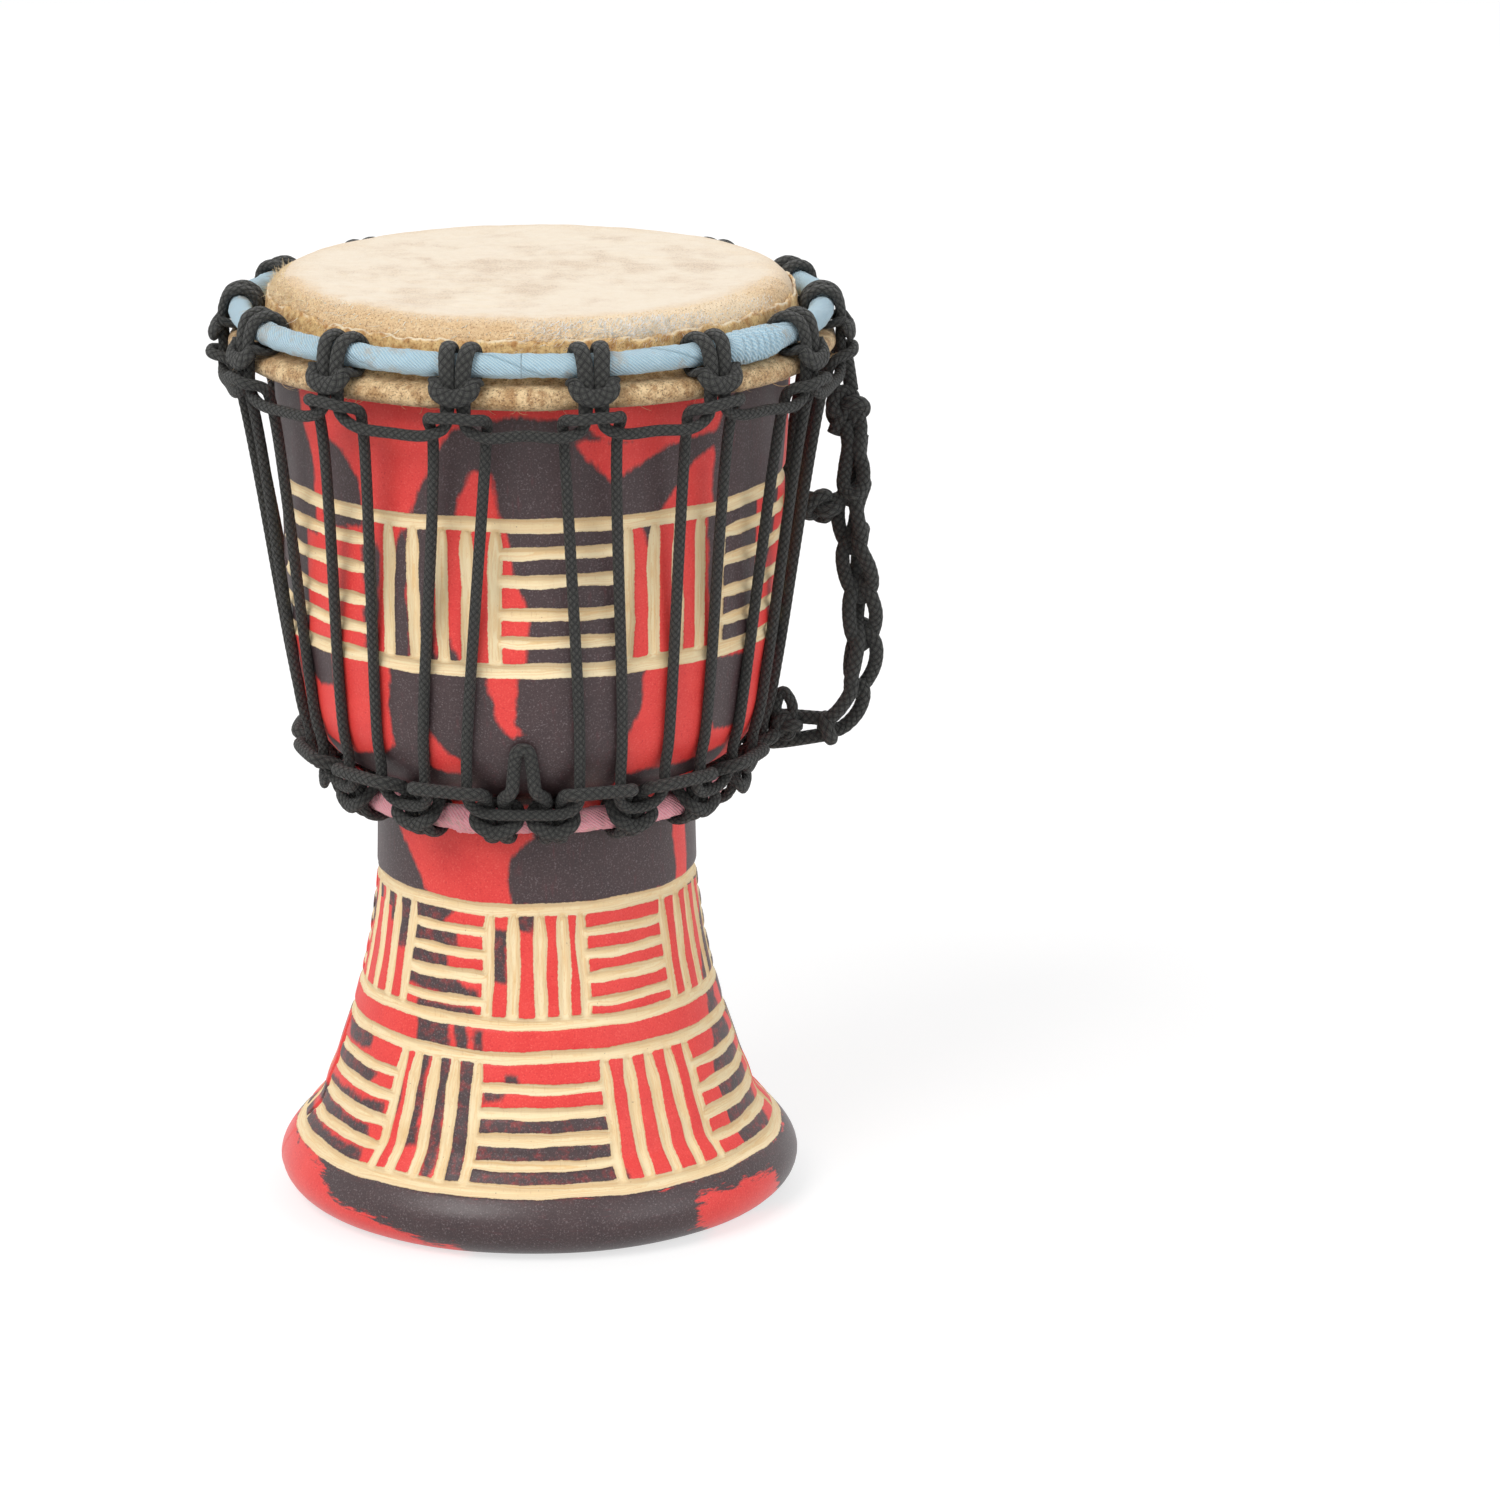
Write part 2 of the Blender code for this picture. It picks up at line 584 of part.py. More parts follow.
def build():
    for left_over in list(bpy.data.objects):
        bpy.data.objects.remove(left_over)
    wood = make_material("painted_wood", (0.76, 0.05, 0.045), 0.55)
    skin = make_material("goatskin", (0.84, 0.68, 0.48), 0.7)
    steel = make_material("steel_rod", (0.5, 0.5, 0.5), 0.4, 1.0)
    blue = make_material("blue_tape", (0.33, 0.57, 0.72), 0.85)
    pink = make_material("pink_tape", (0.88, 0.24, 0.32), 0.85)
    black = make_material("black_rope", (0.03, 0.032, 0.03), 0.9)
    build_shell(wood)
    build_head(skin)
    build_rod("flesh_ring", FLESH_RADIUS, FLESH_HEIGHT, FLESH_ROD, steel)
    build_rod("crown_ring", CROWN_RADIUS, CROWN_HEIGHT, ROD, steel)
    build_rod("base_ring", BASE_RING_RADIUS, BASE_RING_HEIGHT, ROD, steel)
    build_tape("crown_ring_tape", CROWN_RADIUS, CROWN_HEIGHT, blue)
    build_tape("base_ring_tape", BASE_RING_RADIUS, BASE_RING_HEIGHT, pink)
    build_crown_lacing(black)
    build_base_lacing(black)
    build_verticals(black)
    build_strap(black)


build()
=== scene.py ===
"""A mini djembe: a carved and painted goblet drum, roped between three rings.

Places are worked out in millimetres and turned into metres when a mesh is made. Angle 0
of the drum is its front, towards -Y, and angles grow towards +X."""

import math

import bpy
import numpy as np
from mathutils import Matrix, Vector


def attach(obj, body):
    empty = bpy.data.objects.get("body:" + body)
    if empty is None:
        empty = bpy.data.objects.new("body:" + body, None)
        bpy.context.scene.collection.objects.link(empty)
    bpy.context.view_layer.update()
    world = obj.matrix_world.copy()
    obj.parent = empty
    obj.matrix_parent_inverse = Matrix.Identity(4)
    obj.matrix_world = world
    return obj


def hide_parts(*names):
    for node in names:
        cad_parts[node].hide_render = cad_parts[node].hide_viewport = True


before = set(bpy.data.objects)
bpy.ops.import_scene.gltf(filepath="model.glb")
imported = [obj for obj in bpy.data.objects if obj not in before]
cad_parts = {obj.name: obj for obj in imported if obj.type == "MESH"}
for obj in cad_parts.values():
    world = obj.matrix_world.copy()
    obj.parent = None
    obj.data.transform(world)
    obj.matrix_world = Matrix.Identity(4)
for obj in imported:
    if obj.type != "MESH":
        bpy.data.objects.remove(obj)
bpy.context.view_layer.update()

# The camera
# It looks slightly down on the drum from two metres away through a long lens, and the
# drum stands left of the middle of its view.
view_data = bpy.data.cameras.new("view")
view_data.lens = 155.8166
view_data.sensor_width = 36.0
view_data.clip_end = 30.0
view = bpy.data.objects.new("view", view_data)
view.location = (0.068438, -2.0, 0.704516)
view.rotation_euler = (math.pi / 2 - 0.273263, 0.0, 0.0)
bpy.context.scene.collection.objects.link(view)
bpy.context.scene.camera = view

# The shell
# One block of pale wood, turned to a goblet and hollowed right through. It is painted red,
# black is brushed over it in patches, and the bands are then cut through the paint with a
# gouge, down to the raw wood.
MM = 0.001
FRONT_EDGE = -83.0
OUTSIDE = (
    (73.5, 0.0), (77.5, 1.2), (80.8, 3.6), (83.0, 6.8), (83.7, 10.6), (82.8, 14.0),
    (80.6, 17.6), (77.4, 21.3), (74.0, 25.5), (70.4, 29.7), (68.2, 36.0), (65.7, 42.0),
    (63.8, 48.0), (61.8, 54.0), (59.8, 60.0), (58.2, 66.0), (56.6, 72.0), (55.3, 78.0),
    (54.1, 84.0), (53.2, 90.0), (52.3, 96.0), (51.5, 102.0), (51.1, 108.0), (50.9, 120.0),
    (50.9, 132.0), (51.2, 139.0), (53.4, 143.6), (59.3, 146.2), (64.8, 149.2),
    (69.4, 154.5), (73.3, 163.0), (75.8, 177.0), (77.1, 184.0), (78.4, 192.0),
    (78.8, 204.0), (79.0, 216.0), (79.3, 230.0), (79.7, 240.0), (80.6, 255.0),
    (81.0, 270.0), (81.0, 285.0), (81.0, 292.9), (80.2, 295.9), (78.0, 298.1), (75.0, 298.9),
)
INSIDE = (
    (66.5, 0.0), (58.5, 26.0), (46.5, 60.0), (38.0, 96.0), (36.5, 126.0), (42.5, 144.5),
    (60.5, 163.0), (68.5, 205.0), (71.5, 285.0), (72.5, 298.0),
)
SPLIT = 137.4
BOWL_COLUMNS = 600
FOOT_COLUMNS = 560
BOWL_ZONES = ((SPLIT, 154, 2.4), (154, 186, 1.7), (186, 242, 0.68), (242, 298.85, 2.0))
FOOT_ZONES = ((0, 17, 1.6), (17, 64, 0.84), (64, 110.5, 0.8), (110.5, SPLIT, 2.6))
# Borders and level cuts are (top, bottom) heights. A block is (the angle of the upright cut
# that starts it, that cut's width, and the angles of its other upright cuts, or None where
# it has the level ones).
BOWL_BORDERS = ((239.2, 234.6), (193.4, 188.4))
BOWL_LEVELS = ((230.4, 226.2), (221.5, 217.2), (211.0, 206.8), (202.1, 198.0))
BOWL_BLOCKS = (
    (-83.0, 3.4, None), (-38.4, 2.0, (-32.5, -26.1, -19.1, -13.2)), (-6.9, 4.8, None),
    (23.4, 4.0, (29.6, 36.0, 42.2)), (49.0, 3.0, None), (86.0, 3.6, (94.0, 102.5, 110.0)),
    (118.0, 3.6, None), (156.0, 3.6, (164.6, 173.0, 181.5)), (190.0, 3.8, None),
    (234.0, 3.4, (242.0, 251.5, 260.5, 269.0)),
)
WAIST_BORDERS = ((108.2, 104.0), (72.4, 68.4))
WAIST_LEVELS = ((100.0, 96.7), (93.0, 89.5), (86.2, 82.0), (78.1, 74.8))
WAIST_BLOCKS = (
    (-83.0, 4.2, (-75.5, -65.6, -56.6)), (-47.8, 4.4, None), (-15.0, 4.3, (-6.4, 2.7, 10.8)),
    (17.5, 4.2, None), (52.0, 4.2, (60.4, 69.0, 77.4)), (86.0, 4.2, None),
    (121.0, 4.2, (129.5, 138.0, 146.4)), (154.5, 4.2, None), (194.0, 4.2, (202.6, 211.0, 219.6)),
    (228.0, 4.2, None),
)
FLARE_BORDERS = ((62.0, 58.1), (23.4, 19.7))
FLARE_LEVELS = ((52.2, 48.9), (45.1, 41.3), (37.6, 33.3), (29.6, 26.7))
FLARE_BLOCKS = (
    (-83.0, 4.0, None), (-42.6, 4.3, (-37.0, -30.2, -23.4)), (-16.3, 4.2, None),
    (22.0, 4.2, (29.4, 37.0, 44.6)), (52.0, 4.2, None), (92.0, 4.2, (100.0, 108.2, 116.0)),
    (124.0, 4.2, None), (164.0, 4.2, (172.0, 180.0, 188.2)), (196.0, 4.2, None),
    (236.0, 4.2, (244.4, 252.6, 261.0, 269.2)),
)
# Outlines in (angle, height) of where black paint was brushed on, and of what was left red
BLACK_PATCHES = (
    ((-97, 300), (-64, 300), (-60, 262), (-55, 246), (-57, 236), (-90, 236), (-95, 255)),
    ((-50, 259), (-45, 256), (-40, 248), (-39, 232), (-51, 232)),
    ((-5, 271), (10, 270), (19, 262), (35, 260), (46, 262), (50, 273), (84, 276), (80, 236),
     (56, 236), (46, 237), (45, 256), (39, 253), (36, 247), (29, 236), (-27, 236), (-24, 247),
     (-18, 262), (-16, 267)),
    ((37, 271), (43, 271), (42, 264), (37, 265)),
    ((-90, 236), (-60, 236), (-62, 192), (-98, 192), (-92, 213)),
    ((-60, 236), (-56, 236), (-56, 226), (-60, 226)),
    ((-53, 236), (-48, 236), (-44, 231), (-53, 230)),
    ((-40, 236), (-37, 236), (-35, 224), (-36, 192), (-40, 192)),
    ((-29, 234), (-27, 234), (-28, 214), (-27, 192), (-34, 192), (-33, 216)),
    ((-26, 236), (-22, 236), (-21, 192), (-27, 192)),
    ((-20, 206), (-17, 200), (-15, 192), (-21, 192)),
    ((-4, 236), (23, 236), (23, 192), (0, 192), (1, 208), (-3, 222)),
    ((31, 236), (26, 236), (28, 229)),
    ((44, 236), (63, 236), (62, 192), (46, 192)),
    ((-66, 192), (-52, 192), (-54, 178), (-60, 176), (-66, 180)),
    ((-66, 158), (-58, 156), (-50, 156), (-41, 158), (-35, 162), (-35, 175), (-33, 192),
     (-9.6, 192), (-9.2, 184), (-7.9, 180), (-7.7, 175), (-5.2, 170), (-3.2, 168), (-0.9, 170),
     (-2.8, 173), (-2.4, 181), (-1.5, 192), (28, 192), (27, 176), (23, 164), (24, 141), (-66, 141)),
    ((46, 189), (62, 187), (62, 163), (51, 164), (46, 173)),
    ((24, 154), (60, 156), (60, 141), (24, 141)),
    ((-94, 138), (-57, 138), (-56, 126), (-49, 119), (-45, 114), (-40, 107), (-102, 107), (-97, 121)),
    ((0, 138), (58, 138), (62, 107), (-7, 107), (-9, 116), (-7, 123), (1, 130)),
    ((-57, 106), (-49, 106), (-49, 89), (-54, 88)), ((-63, 106), (-58, 106), (-58, 95), (-61, 95)),
    ((-91, 104), (-80, 104), (-77, 91), (-88, 86)),
    ((-47, 106), (-26, 106), (-24, 104), (-28, 99), (-26, 93), (-31, 90), (-30, 85), (-22, 80),
     (-18, 80), (-18, 76), (-24, 77), (-47, 79)),
    ((-41, 75), (-18, 74), (-18, 71), (-41, 71)), ((-14, 99), (-9, 99), (-9, 83), (-14, 83)),
    ((-5, 105), (1, 105), (0, 98), (-5, 100)), ((-40, 70), (-28, 70), (-26, 60), (-38, 60)),
    ((-26, 71), (-22, 71), (-20, 60), (-24, 60)), ((-19, 68), (-15, 68), (-15, 60), (-18, 60)),
    ((-82, 58), (-59, 59), (-58, 54), (-76, 53)),
    ((-82, 50), (-58, 50), (-52, 48), (-55, 44), (-82, 44)),
    ((-82, 39), (-61, 40), (-46, 40), (-45, 36), (-60, 35), (-82, 36)),
    ((-92, 34), (-50, 33), (-49, 29), (-56, 28), (-95, 29)),
    ((-94, 27), (-48, 26), (-47, 22), (-98, 22)), ((-43, 48), (-41, 48), (-40, 38), (-42, 37)),
    ((-36, 59), (-33, 59), (-32, 31), (-36, 30)), ((-30, 59), (-25, 59), (-25, 22), (-28, 22)),
    ((-22, 59), (-17, 59), (-17, 22), (-23, 22)), ((-8, 55), (-4, 55), (-4, 52), (-9, 52)),
    ((-15, 50), (-8, 50), (-9, 47), (-14, 46)), ((-16, 42), (20, 44), (24, 22), (-16, 22)),
    ((-90, 21), (284, 21), (284, -6), (-90, -6)),
)
RED_PATCHES = (
    ((-12, 254), (-8, 254), (-5, 238), (-16, 238)),
    ((10, 264), (34, 260), (26, 255), (19, 250)),
    ((-24.8, 170), (-22.6, 166.7), (-20, 162), (-15, 159), (-15, 154), (-25, 156.4)),
    ((-98, 21), (-62, 20), (-55, 16), (-50, 11), (-36, 9), (-30, 7), (-23, 4), (-18, 4),
     (-12, -2), (-12, -6), (-116, -6), (-108, 10)),
    ((40, 16), (66, 14), (70, 4), (52, -3), (38, 6)),
)
# Patches on the side that the photo hides: (low, high, the drum's radius there, how many)
HIDDEN_PATCHES = ((150, 298, 79.0, 33), (108, 137, 51.0, 8), (24, 108, 58.0, 25))
HIDDEN_SIDE = (72, 268)
PATCH_REACH = 6.0
CUT_DEPTH = 1.15
NO_CUT = 5.0
CUT_OVERLAP = 0.9
UPRIGHT_CUT = 4.7
BORE_STEP = 4


def polar(angle, radius, height):
    """The place at this angle round the drum, distance from its axis and height."""
    turn = np.radians(angle)
    return np.stack(np.broadcast_arrays(
        radius * np.sin(turn), -radius * np.cos(turn), height), axis=-1)


def smooth_run(rows, spacing, closed=False):
    """Rows that start with a place, run through on one smooth curve and laid out evenly."""
    rows = np.asarray(rows, float)
    if closed:
        knots = np.vstack([rows[-1:], rows, rows[:2]])
    else:
        knots = np.vstack([2 * rows[0] - rows[1], rows, 2 * rows[-1] - rows[-2]])
    pieces = []
    for a, b, c, d in zip(knots, knots[1:], knots[2:], knots[3:]):
        before, here, after = (
            max(np.linalg.norm((q - p)[:3]), 1e-6) ** 0.5 for p, q in ((a, b), (b, c), (c, d)))
        leave = ((b - a) / before - (c - a) / (before + here) + (c - b) / here) * here
        reach = ((c - b) / here - (d - b) / (here + after) + (d - c) / after) * here
        share = np.linspace(0, 1, max(4, int(here ** 2 / spacing * 3)), endpoint=False)[:, None]
        cube, square = share ** 3, share ** 2
        pieces.append((2 * cube - 3 * square + 1) * b + (cube - 2 * square + share) * leave
                      + (3 * square - 2 * cube) * c + (cube - square) * reach)
    dense = np.vstack([*pieces, rows[:1] if closed else rows[-1:]])
    run = np.append(0, np.cumsum(np.linalg.norm(np.diff(dense[:, :3], axis=0), axis=1)))
    count = max(2, round(run[-1] / spacing))
    wanted = np.linspace(0, run[-1], count, endpoint=False) if closed else np.linspace(
        0, run[-1], count + 1)
    return np.column_stack([np.interp(wanted, run, column) for column in dense.T]), wanted


def joined_rings(rings, closed):
    """The faces of a skin over rings of points round the axis. A ring may have several
    times the points of the next one, and a ring of one point is a pole."""
    starts = np.cumsum([0] + [len(ring) for ring in rings[:-1]])
    faces = []
    for here in range(len(rings) if closed else len(rings) - 1):
        there = (here + 1) % len(rings)
        low = starts[here] + np.arange(len(rings[here]))
        high = starts[there] + np.arange(len(rings[there]))
        if len(high) == 1:
            columns = [low, np.roll(low, -1), np.repeat(high, len(low))]
        elif len(low) == 1:
            columns = [np.repeat(low, len(high)), np.roll(high, -1), high]
        elif len(low) >= len(high):
            step = len(low) // len(high)
            fan = [np.roll(low, -k)[::step] for k in range(step + 1)]
            columns = [*fan, np.roll(high, -1), high]
        else:
            step = len(high) // len(low)
            fan = [np.roll(high, -k)[::step] for k in range(step, -1, -1)]
            columns = [low, np.roll(low, -1), *fan]
        faces += np.column_stack(columns).tolist()
    return faces


def new_piece(name, places, faces, material, edges=(), **values):
    """A mesh object from places in millimetres, with named values at its points."""
    mesh = bpy.data.meshes.new(name)
    mesh.from_pydata((np.asarray(places) * MM).tolist(), list(edges), faces)
    for label, numbers in values.items():
        numbers = np.asarray(numbers, float)
        kind, field = ("FLOAT", "value") if numbers.ndim == 1 else ("FLOAT_VECTOR", "vector")
        mesh.attributes.new(label, kind, "POINT").data.foreach_set(field, numbers.ravel())
    mesh.shade_smooth()
    mesh.materials.append(material)
    mesh.update()
    made = bpy.data.objects.new(name, mesh)
    bpy.context.scene.collection.objects.link(made)
    return made


def waver(along, seed, length):
    """A smooth hand's wandering between about -1 and 1, with waves near this length."""
    phases = np.random.default_rng(seed).uniform(0, math.tau, 3)
    waves = [np.sin(along * math.tau / (length * k) + p) for k, p in zip((1, 1.7, 2.9), phases)]
    return (waves[0] + waves[1] + waves[2]) / 2.2


def inside_by(across, up, corners):
    """How far inside an outline each point lies, in millimetres, and below 0 outside."""
    nearest = np.full(across.shape, 1e9)
    odd = np.zeros(across.shape, bool)
    for (x0, y0), (x1, y1) in zip(corners, np.roll(corners, -1, axis=0)):
        dx, dy = x1 - x0, y1 - y0
        share = np.clip(((across - x0) * dx + (up - y0) * dy) / (dx * dx + dy * dy), 0, 1)
        nearest = np.minimum(nearest, np.hypot(across - x0 - share * dx, up - y0 - share * dy))
        if dy:
            odd ^= ((y0 > up) != (y1 > up)) & (across < dx * (up - y0) / dy + x0)
    return np.where(odd, nearest, -nearest)


def outline_rows(points, zones):
    """Rows of (distance, height, length along the outline) for each (low, high, spacing)."""
    line, run = smooth_run([(radius, height, 0) for radius, height in points], 0.05)
    rows = []
    for low, high, spacing in zones:
        start, end = np.interp((low, high), line[:, 1], run)
        places = np.linspace(start, end, round((end - start) / spacing), endpoint=False)
        rows.append(places)
    rows = np.concatenate([*rows, [end]])
    return np.column_stack([np.interp(rows, run, line[:, 0]), np.interp(rows, run, line[:, 1]), rows])


def cut_band(angles, rows, borders, levels, blocks, seed):
    """The distance to the nearest cut's edge, below 0 inside it, and the depth of the wood
    taken out, for a grid of angles and outline rows."""
    angle, radius = np.meshgrid(angles, rows[:, 0])
    height, run = (np.repeat(rows[:, k, None], len(angles), axis=1) for k in (1, 2))
    edge = np.full(angle.shape, NO_CUT)
    depth = np.zeros(angle.shape)
    girth = np.radians(angle) * radius

    def gouge(aside, half, beyond):
        nonlocal edge, depth
        ragged = 0.10 * waver(girth + 3 * run, seed + 91, 2.3)
        edge = np.minimum(edge, np.maximum(np.abs(aside) - half, beyond) + ragged)
        hollow = CUT_DEPTH * (1 - np.clip(np.abs(aside) / half, 0, 1) ** 1.5)
        depth = np.maximum(depth, hollow * np.clip(-beyond / 1.2, 0, 1))

    def run_at(level):
        return np.interp(level, rows[:, 1], rows[:, 2])

    for number, (top, bottom) in enumerate(borders):
        middle = (run_at(top) + run_at(bottom)) / 2 + 0.35 * waver(girth, seed + number, 34)
        half = (run_at(top) - run_at(bottom)) / 2 * (1 + 0.07 * waver(girth, seed + number + 5, 13))
        gouge(run - middle, half, np.full(angle.shape, -9.0))
    roof, ground = run_at(borders[0][1]), run_at(borders[1][0])
    for number, (start, width, uprights) in enumerate(blocks):
        end = blocks[(number + 1) % len(blocks)][0] + (360 if number + 1 == len(blocks) else 0)
        ways = [(start, width), *((at, UPRIGHT_CUT) for at in uprights or ())]
        for order, (at, wide) in enumerate(ways):
            key = seed + 40 * number + 7 * order
            down = (roof - run) / (roof - ground)
            lean = 0.5 * waver(np.array([0.0]), key + 1, 1.0)[0]
            aside = np.radians(angle - at) * radius - lean * (down - 0.5) + 0.25 * waver(run, key, 21)
            leaf = 0.62 + 0.38 * np.clip(down * (roof - ground) / 7.5, 0, 1) ** 0.6
            half = wide / 2 * leaf * (1 - 0.16 * down) * (1 + 0.05 * waver(run, key + 3, 9))
            beyond = np.maximum(run - roof, ground - run) - CUT_OVERLAP
            gouge(aside, half, beyond)
        if uprights is None:
            for order, (top, bottom) in enumerate(levels):
                key = seed + 40 * number + 9 * order + 3
                middle = (run_at(top) + run_at(bottom)) / 2 + 0.3 * waver(girth, key, 26)
                half = (run_at(top) - run_at(bottom)) / 2 * (1 + 0.09 * waver(girth, key + 2, 11))
                beyond = np.maximum(start - angle, angle - end) * np.pi / 180 * radius - 0.4
                half = half * (0.74 + 0.26 * np.clip(-beyond / 7, 0, 1) ** 0.7)
                gouge(run - middle, half, beyond)
    return edge, depth


def per_degree(height):
    """About how many millimetres of the drum's skin one degree spans, at this height."""
    return np.where(height > 140, 79.0, np.where(height > 100, 51.5, 62.0)) * math.pi / 180


def brushed_black(angle, height):
    """How far inside the brushed black each point lies, in millimetres."""
    dark = np.full(angle.shape, -PATCH_REACH)
    around = per_degree(height)
    for patches, sign in ((BLACK_PATCHES, 1), (RED_PATCHES, -1)):
        for corners in patches:
            low, high = (pick(corner[1] for corner in corners) for pick in (min, max))
            past_seam = corners[0][0] < -85 < corners[1][0] < 200
            turned = np.where(angle > 200, angle - 360, angle) if past_seam else angle
            near = (height > low - PATCH_REACH) & (height < high + PATCH_REACH)
            flat = np.array(corners, float) * (per_degree(low), 1)
            inner = inside_by((turned * around)[near], height[near], flat)
            dark[near] = np.maximum(dark[near], inner) if sign > 0 else np.minimum(dark[near], -inner)
    chance = np.random.default_rng(14)
    for low, high, radius, count in HIDDEN_PATCHES:
        for _ in range(count):
            at, level = chance.uniform(*HIDDEN_SIDE), chance.uniform(low, high)
            wide, tall = chance.uniform(6, 14), chance.uniform(9, 32)
            spread = np.linspace(0, math.tau, 14, endpoint=False)
            reach = (1 + 0.24 * np.sin(2 * spread + chance.uniform(0, math.tau))
                     + 0.16 * np.sin(3 * spread + chance.uniform(0, math.tau)))
            up = tall * reach * np.sin(spread)
            across = wide * reach * np.cos(spread) + chance.uniform(-0.5, 0.5) * up
            flat = np.column_stack([np.radians(at) * radius + across, level + up])
            near = (height > low - 4) & (height < high + 4)
            near &= (angle > HIDDEN_SIDE[0] - 10) & (angle < HIDDEN_SIDE[1] + 9)
            inner = inside_by(np.radians(angle[near]) * radius, height[near], flat)
            dark[near] = np.maximum(dark[near], inner)
    return np.clip(dark, -PATCH_REACH, PATCH_REACH)


def carved_part(name, columns, zones, inner_points, bands, material):
    """Half of the shell: its carved outside, its plain bore, and the ring between them."""
    rows = outline_rows(OUTSIDE, zones)
    angles = FRONT_EDGE + 360.0 / columns * np.arange(columns)
    grid_angle, grid_radius = np.meshgrid(angles, rows[:, 0])
    grid_height = np.repeat(rows[:, 1, None], columns, axis=1)
    edge = np.full(grid_angle.shape, NO_CUT)
    depth = np.zeros(grid_angle.shape)
    for borders, levels, blocks, seed in bands:
        near = (rows[:, 1] > borders[1][1] - 3) & (rows[:, 1] < borders[0][0] + 3)
        cut, hollow = cut_band(angles, rows[near], borders, levels, blocks, seed)
        edge[near] = np.minimum(edge[near], cut)
        depth[near] = np.maximum(depth[near], hollow)
    slope = np.gradient(rows[:, :2], rows[:, 2], axis=0)
    slope /= np.linalg.norm(slope, axis=1)[:, None]
    # Painted light for the cut walls: shade is above 0 on the upper and right-hand walls of each cut,
    # where the wood colour gets painted shade, and below 0 on the lower and left-hand walls, where it
    # gets a painted highlight.
    upward = np.gradient(depth, rows[:, 2], axis=0)
    onward = np.gradient(depth, axis=1) / (grid_radius * math.tau / columns)
    shade = np.clip(-0.8 * upward - 0.6 * onward, -1, 1)
    rough = 0.10 * waver(grid_angle, 5, 37) + 0.06 * waver(grid_height, 8, 19)
    inward = depth - rough * np.clip(edge, 0, 1)
    radius = grid_radius - inward * slope[:, 1, None]
    height = np.maximum(grid_height + inward * slope[:, 0, None], 0.0)
    dark = brushed_black(grid_angle, grid_height)
    rings = list(polar(grid_angle, radius, height))
    values = [np.stack([edge, dark, shade], axis=-1).reshape(-1, 3)]
    for bore, level in inner_points:
        rings.append(polar(angles[::BORE_STEP], bore, level))
        values.append(np.tile((-NO_CUT, -PATCH_REACH, 0.0), (columns // BORE_STEP, 1)))
    cut, dark, shade = np.vstack(values).T
    return new_piece(name, np.vstack(rings), joined_rings(rings, True), material, cut=cut,
                     dark=dark, shade=shade)


def tone(red, green, blue):
    """A colour as it is seen on a screen, from 0 to 255, as the shader wants it."""
    shares = [value / 255 for value in (red, green, blue)]
    return (*(v / 12.92 if v < 0.04045 else ((v + 0.055) / 1.055) ** 2.4 for v in shares), 1.0)


class Flow:
    """What a node puts out. A plain sum of it adds a Math node to its tree."""

    def __init__(self, socket):
        self.socket, self.tree = socket, socket.id_data

    def also(self, key):
        """Something else that the same node puts out."""
        return Flow(self.socket.node.outputs[key])

    def __add__(self, other):
        return maths("ADD", self, other)

    def __sub__(self, other):
        return maths("SUBTRACT", self, other)

    def __rsub__(self, other):
        return maths("SUBTRACT", other, self)

    def __mul__(self, other):
        return maths("MULTIPLY", self, other)

    def __truediv__(self, other):
        return maths("DIVIDE", self, other)

    __radd__, __rmul__ = __add__, __mul__


def add_node(kind, feeds=(), out=0, tree=None, **settings):
    """Adds a node. Its feeds are flows or values, by the place or the name of the input, and
    it goes into their tree where none is given."""
    feeds = feeds if isinstance(feeds, dict) else dict(enumerate(feeds))
    tree = tree or next(value.tree for value in feeds.values() if isinstance(value, Flow))
    made = tree.nodes.new(kind)
    for name, value in settings.items():
        setattr(made, name, value)
    for key, value in feeds.items():
        if isinstance(value, Flow):
            tree.links.new(value.socket, made.inputs[key])
        else:
            made.inputs[key].default_value = value
    return Flow(made.outputs[out])


def maths(operation, *feeds):
    """A sum of numbers, by the name of its operation."""
    return add_node("ShaderNodeMath", feeds, operation=operation)


def arrow(operation, *feeds):
    """A sum of places or directions, by the name of its operation."""
    return add_node("ShaderNodeVectorMath", feeds, operation=operation)


def step_up(value, low, high, kind="SMOOTHSTEP"):
    """0 below low, 1 above high, and a step between them; low may be the higher one."""
    return add_node("ShaderNodeMapRange", (value, low, high, 0.0, 1.0), interpolation_type=kind)


def joined(*parts):
    """A place from its three numbers."""
    return add_node("ShaderNodeCombineXYZ", parts)


def split(flow):
    """The three numbers of a place."""
    parts = add_node("ShaderNodeSeparateXYZ", (flow,))
    return [parts.also(axis) for axis in range(3)]


def mixed(share, first, second):
    """Two colours, the second one by its share. Three numbers are a colour on a screen."""
    first, second = (tone(*side) if isinstance(side, tuple) and len(side) == 3 else side
                     for side in (first, second))
    return add_node("ShaderNodeMix", {0: share, 6: first, 7: second}, out=2, data_type="RGBA")


def layered(colour, *layers):
    """A colour with others laid over it, each by its share."""
    for share, over in layers:
        colour = mixed(share, colour, over)
    return colour


def noise(where, scale, detail=3.0, rough=0.55):
    return add_node("ShaderNodeTexNoise", {
        "Vector": where, "Scale": scale, "Detail": detail, "Roughness": rough})


def stretched(where, scale):
    return add_node("ShaderNodeMapping", {"Vector": where, "Scale": scale})


def point_value(where, name, out=2):
    """What the mesh keeps at its points under this name."""
    return add_node("ShaderNodeAttribute", out=out, tree=where.tree, attribute_name=name)


def new_material(name, roughness, **fixed):
    """A material, its shader with what is the same all over, and the place on the object."""
    material = bpy.data.materials.new(name)
    material.use_nodes = True
    shader = material.node_tree.nodes["Principled BSDF"]
    for key, value in {"Roughness": roughness, **fixed}.items():
        shader.inputs[key.replace("_", " ")].default_value = value
    return material, shader, add_node("ShaderNodeTexCoord", out=3, tree=material.node_tree)


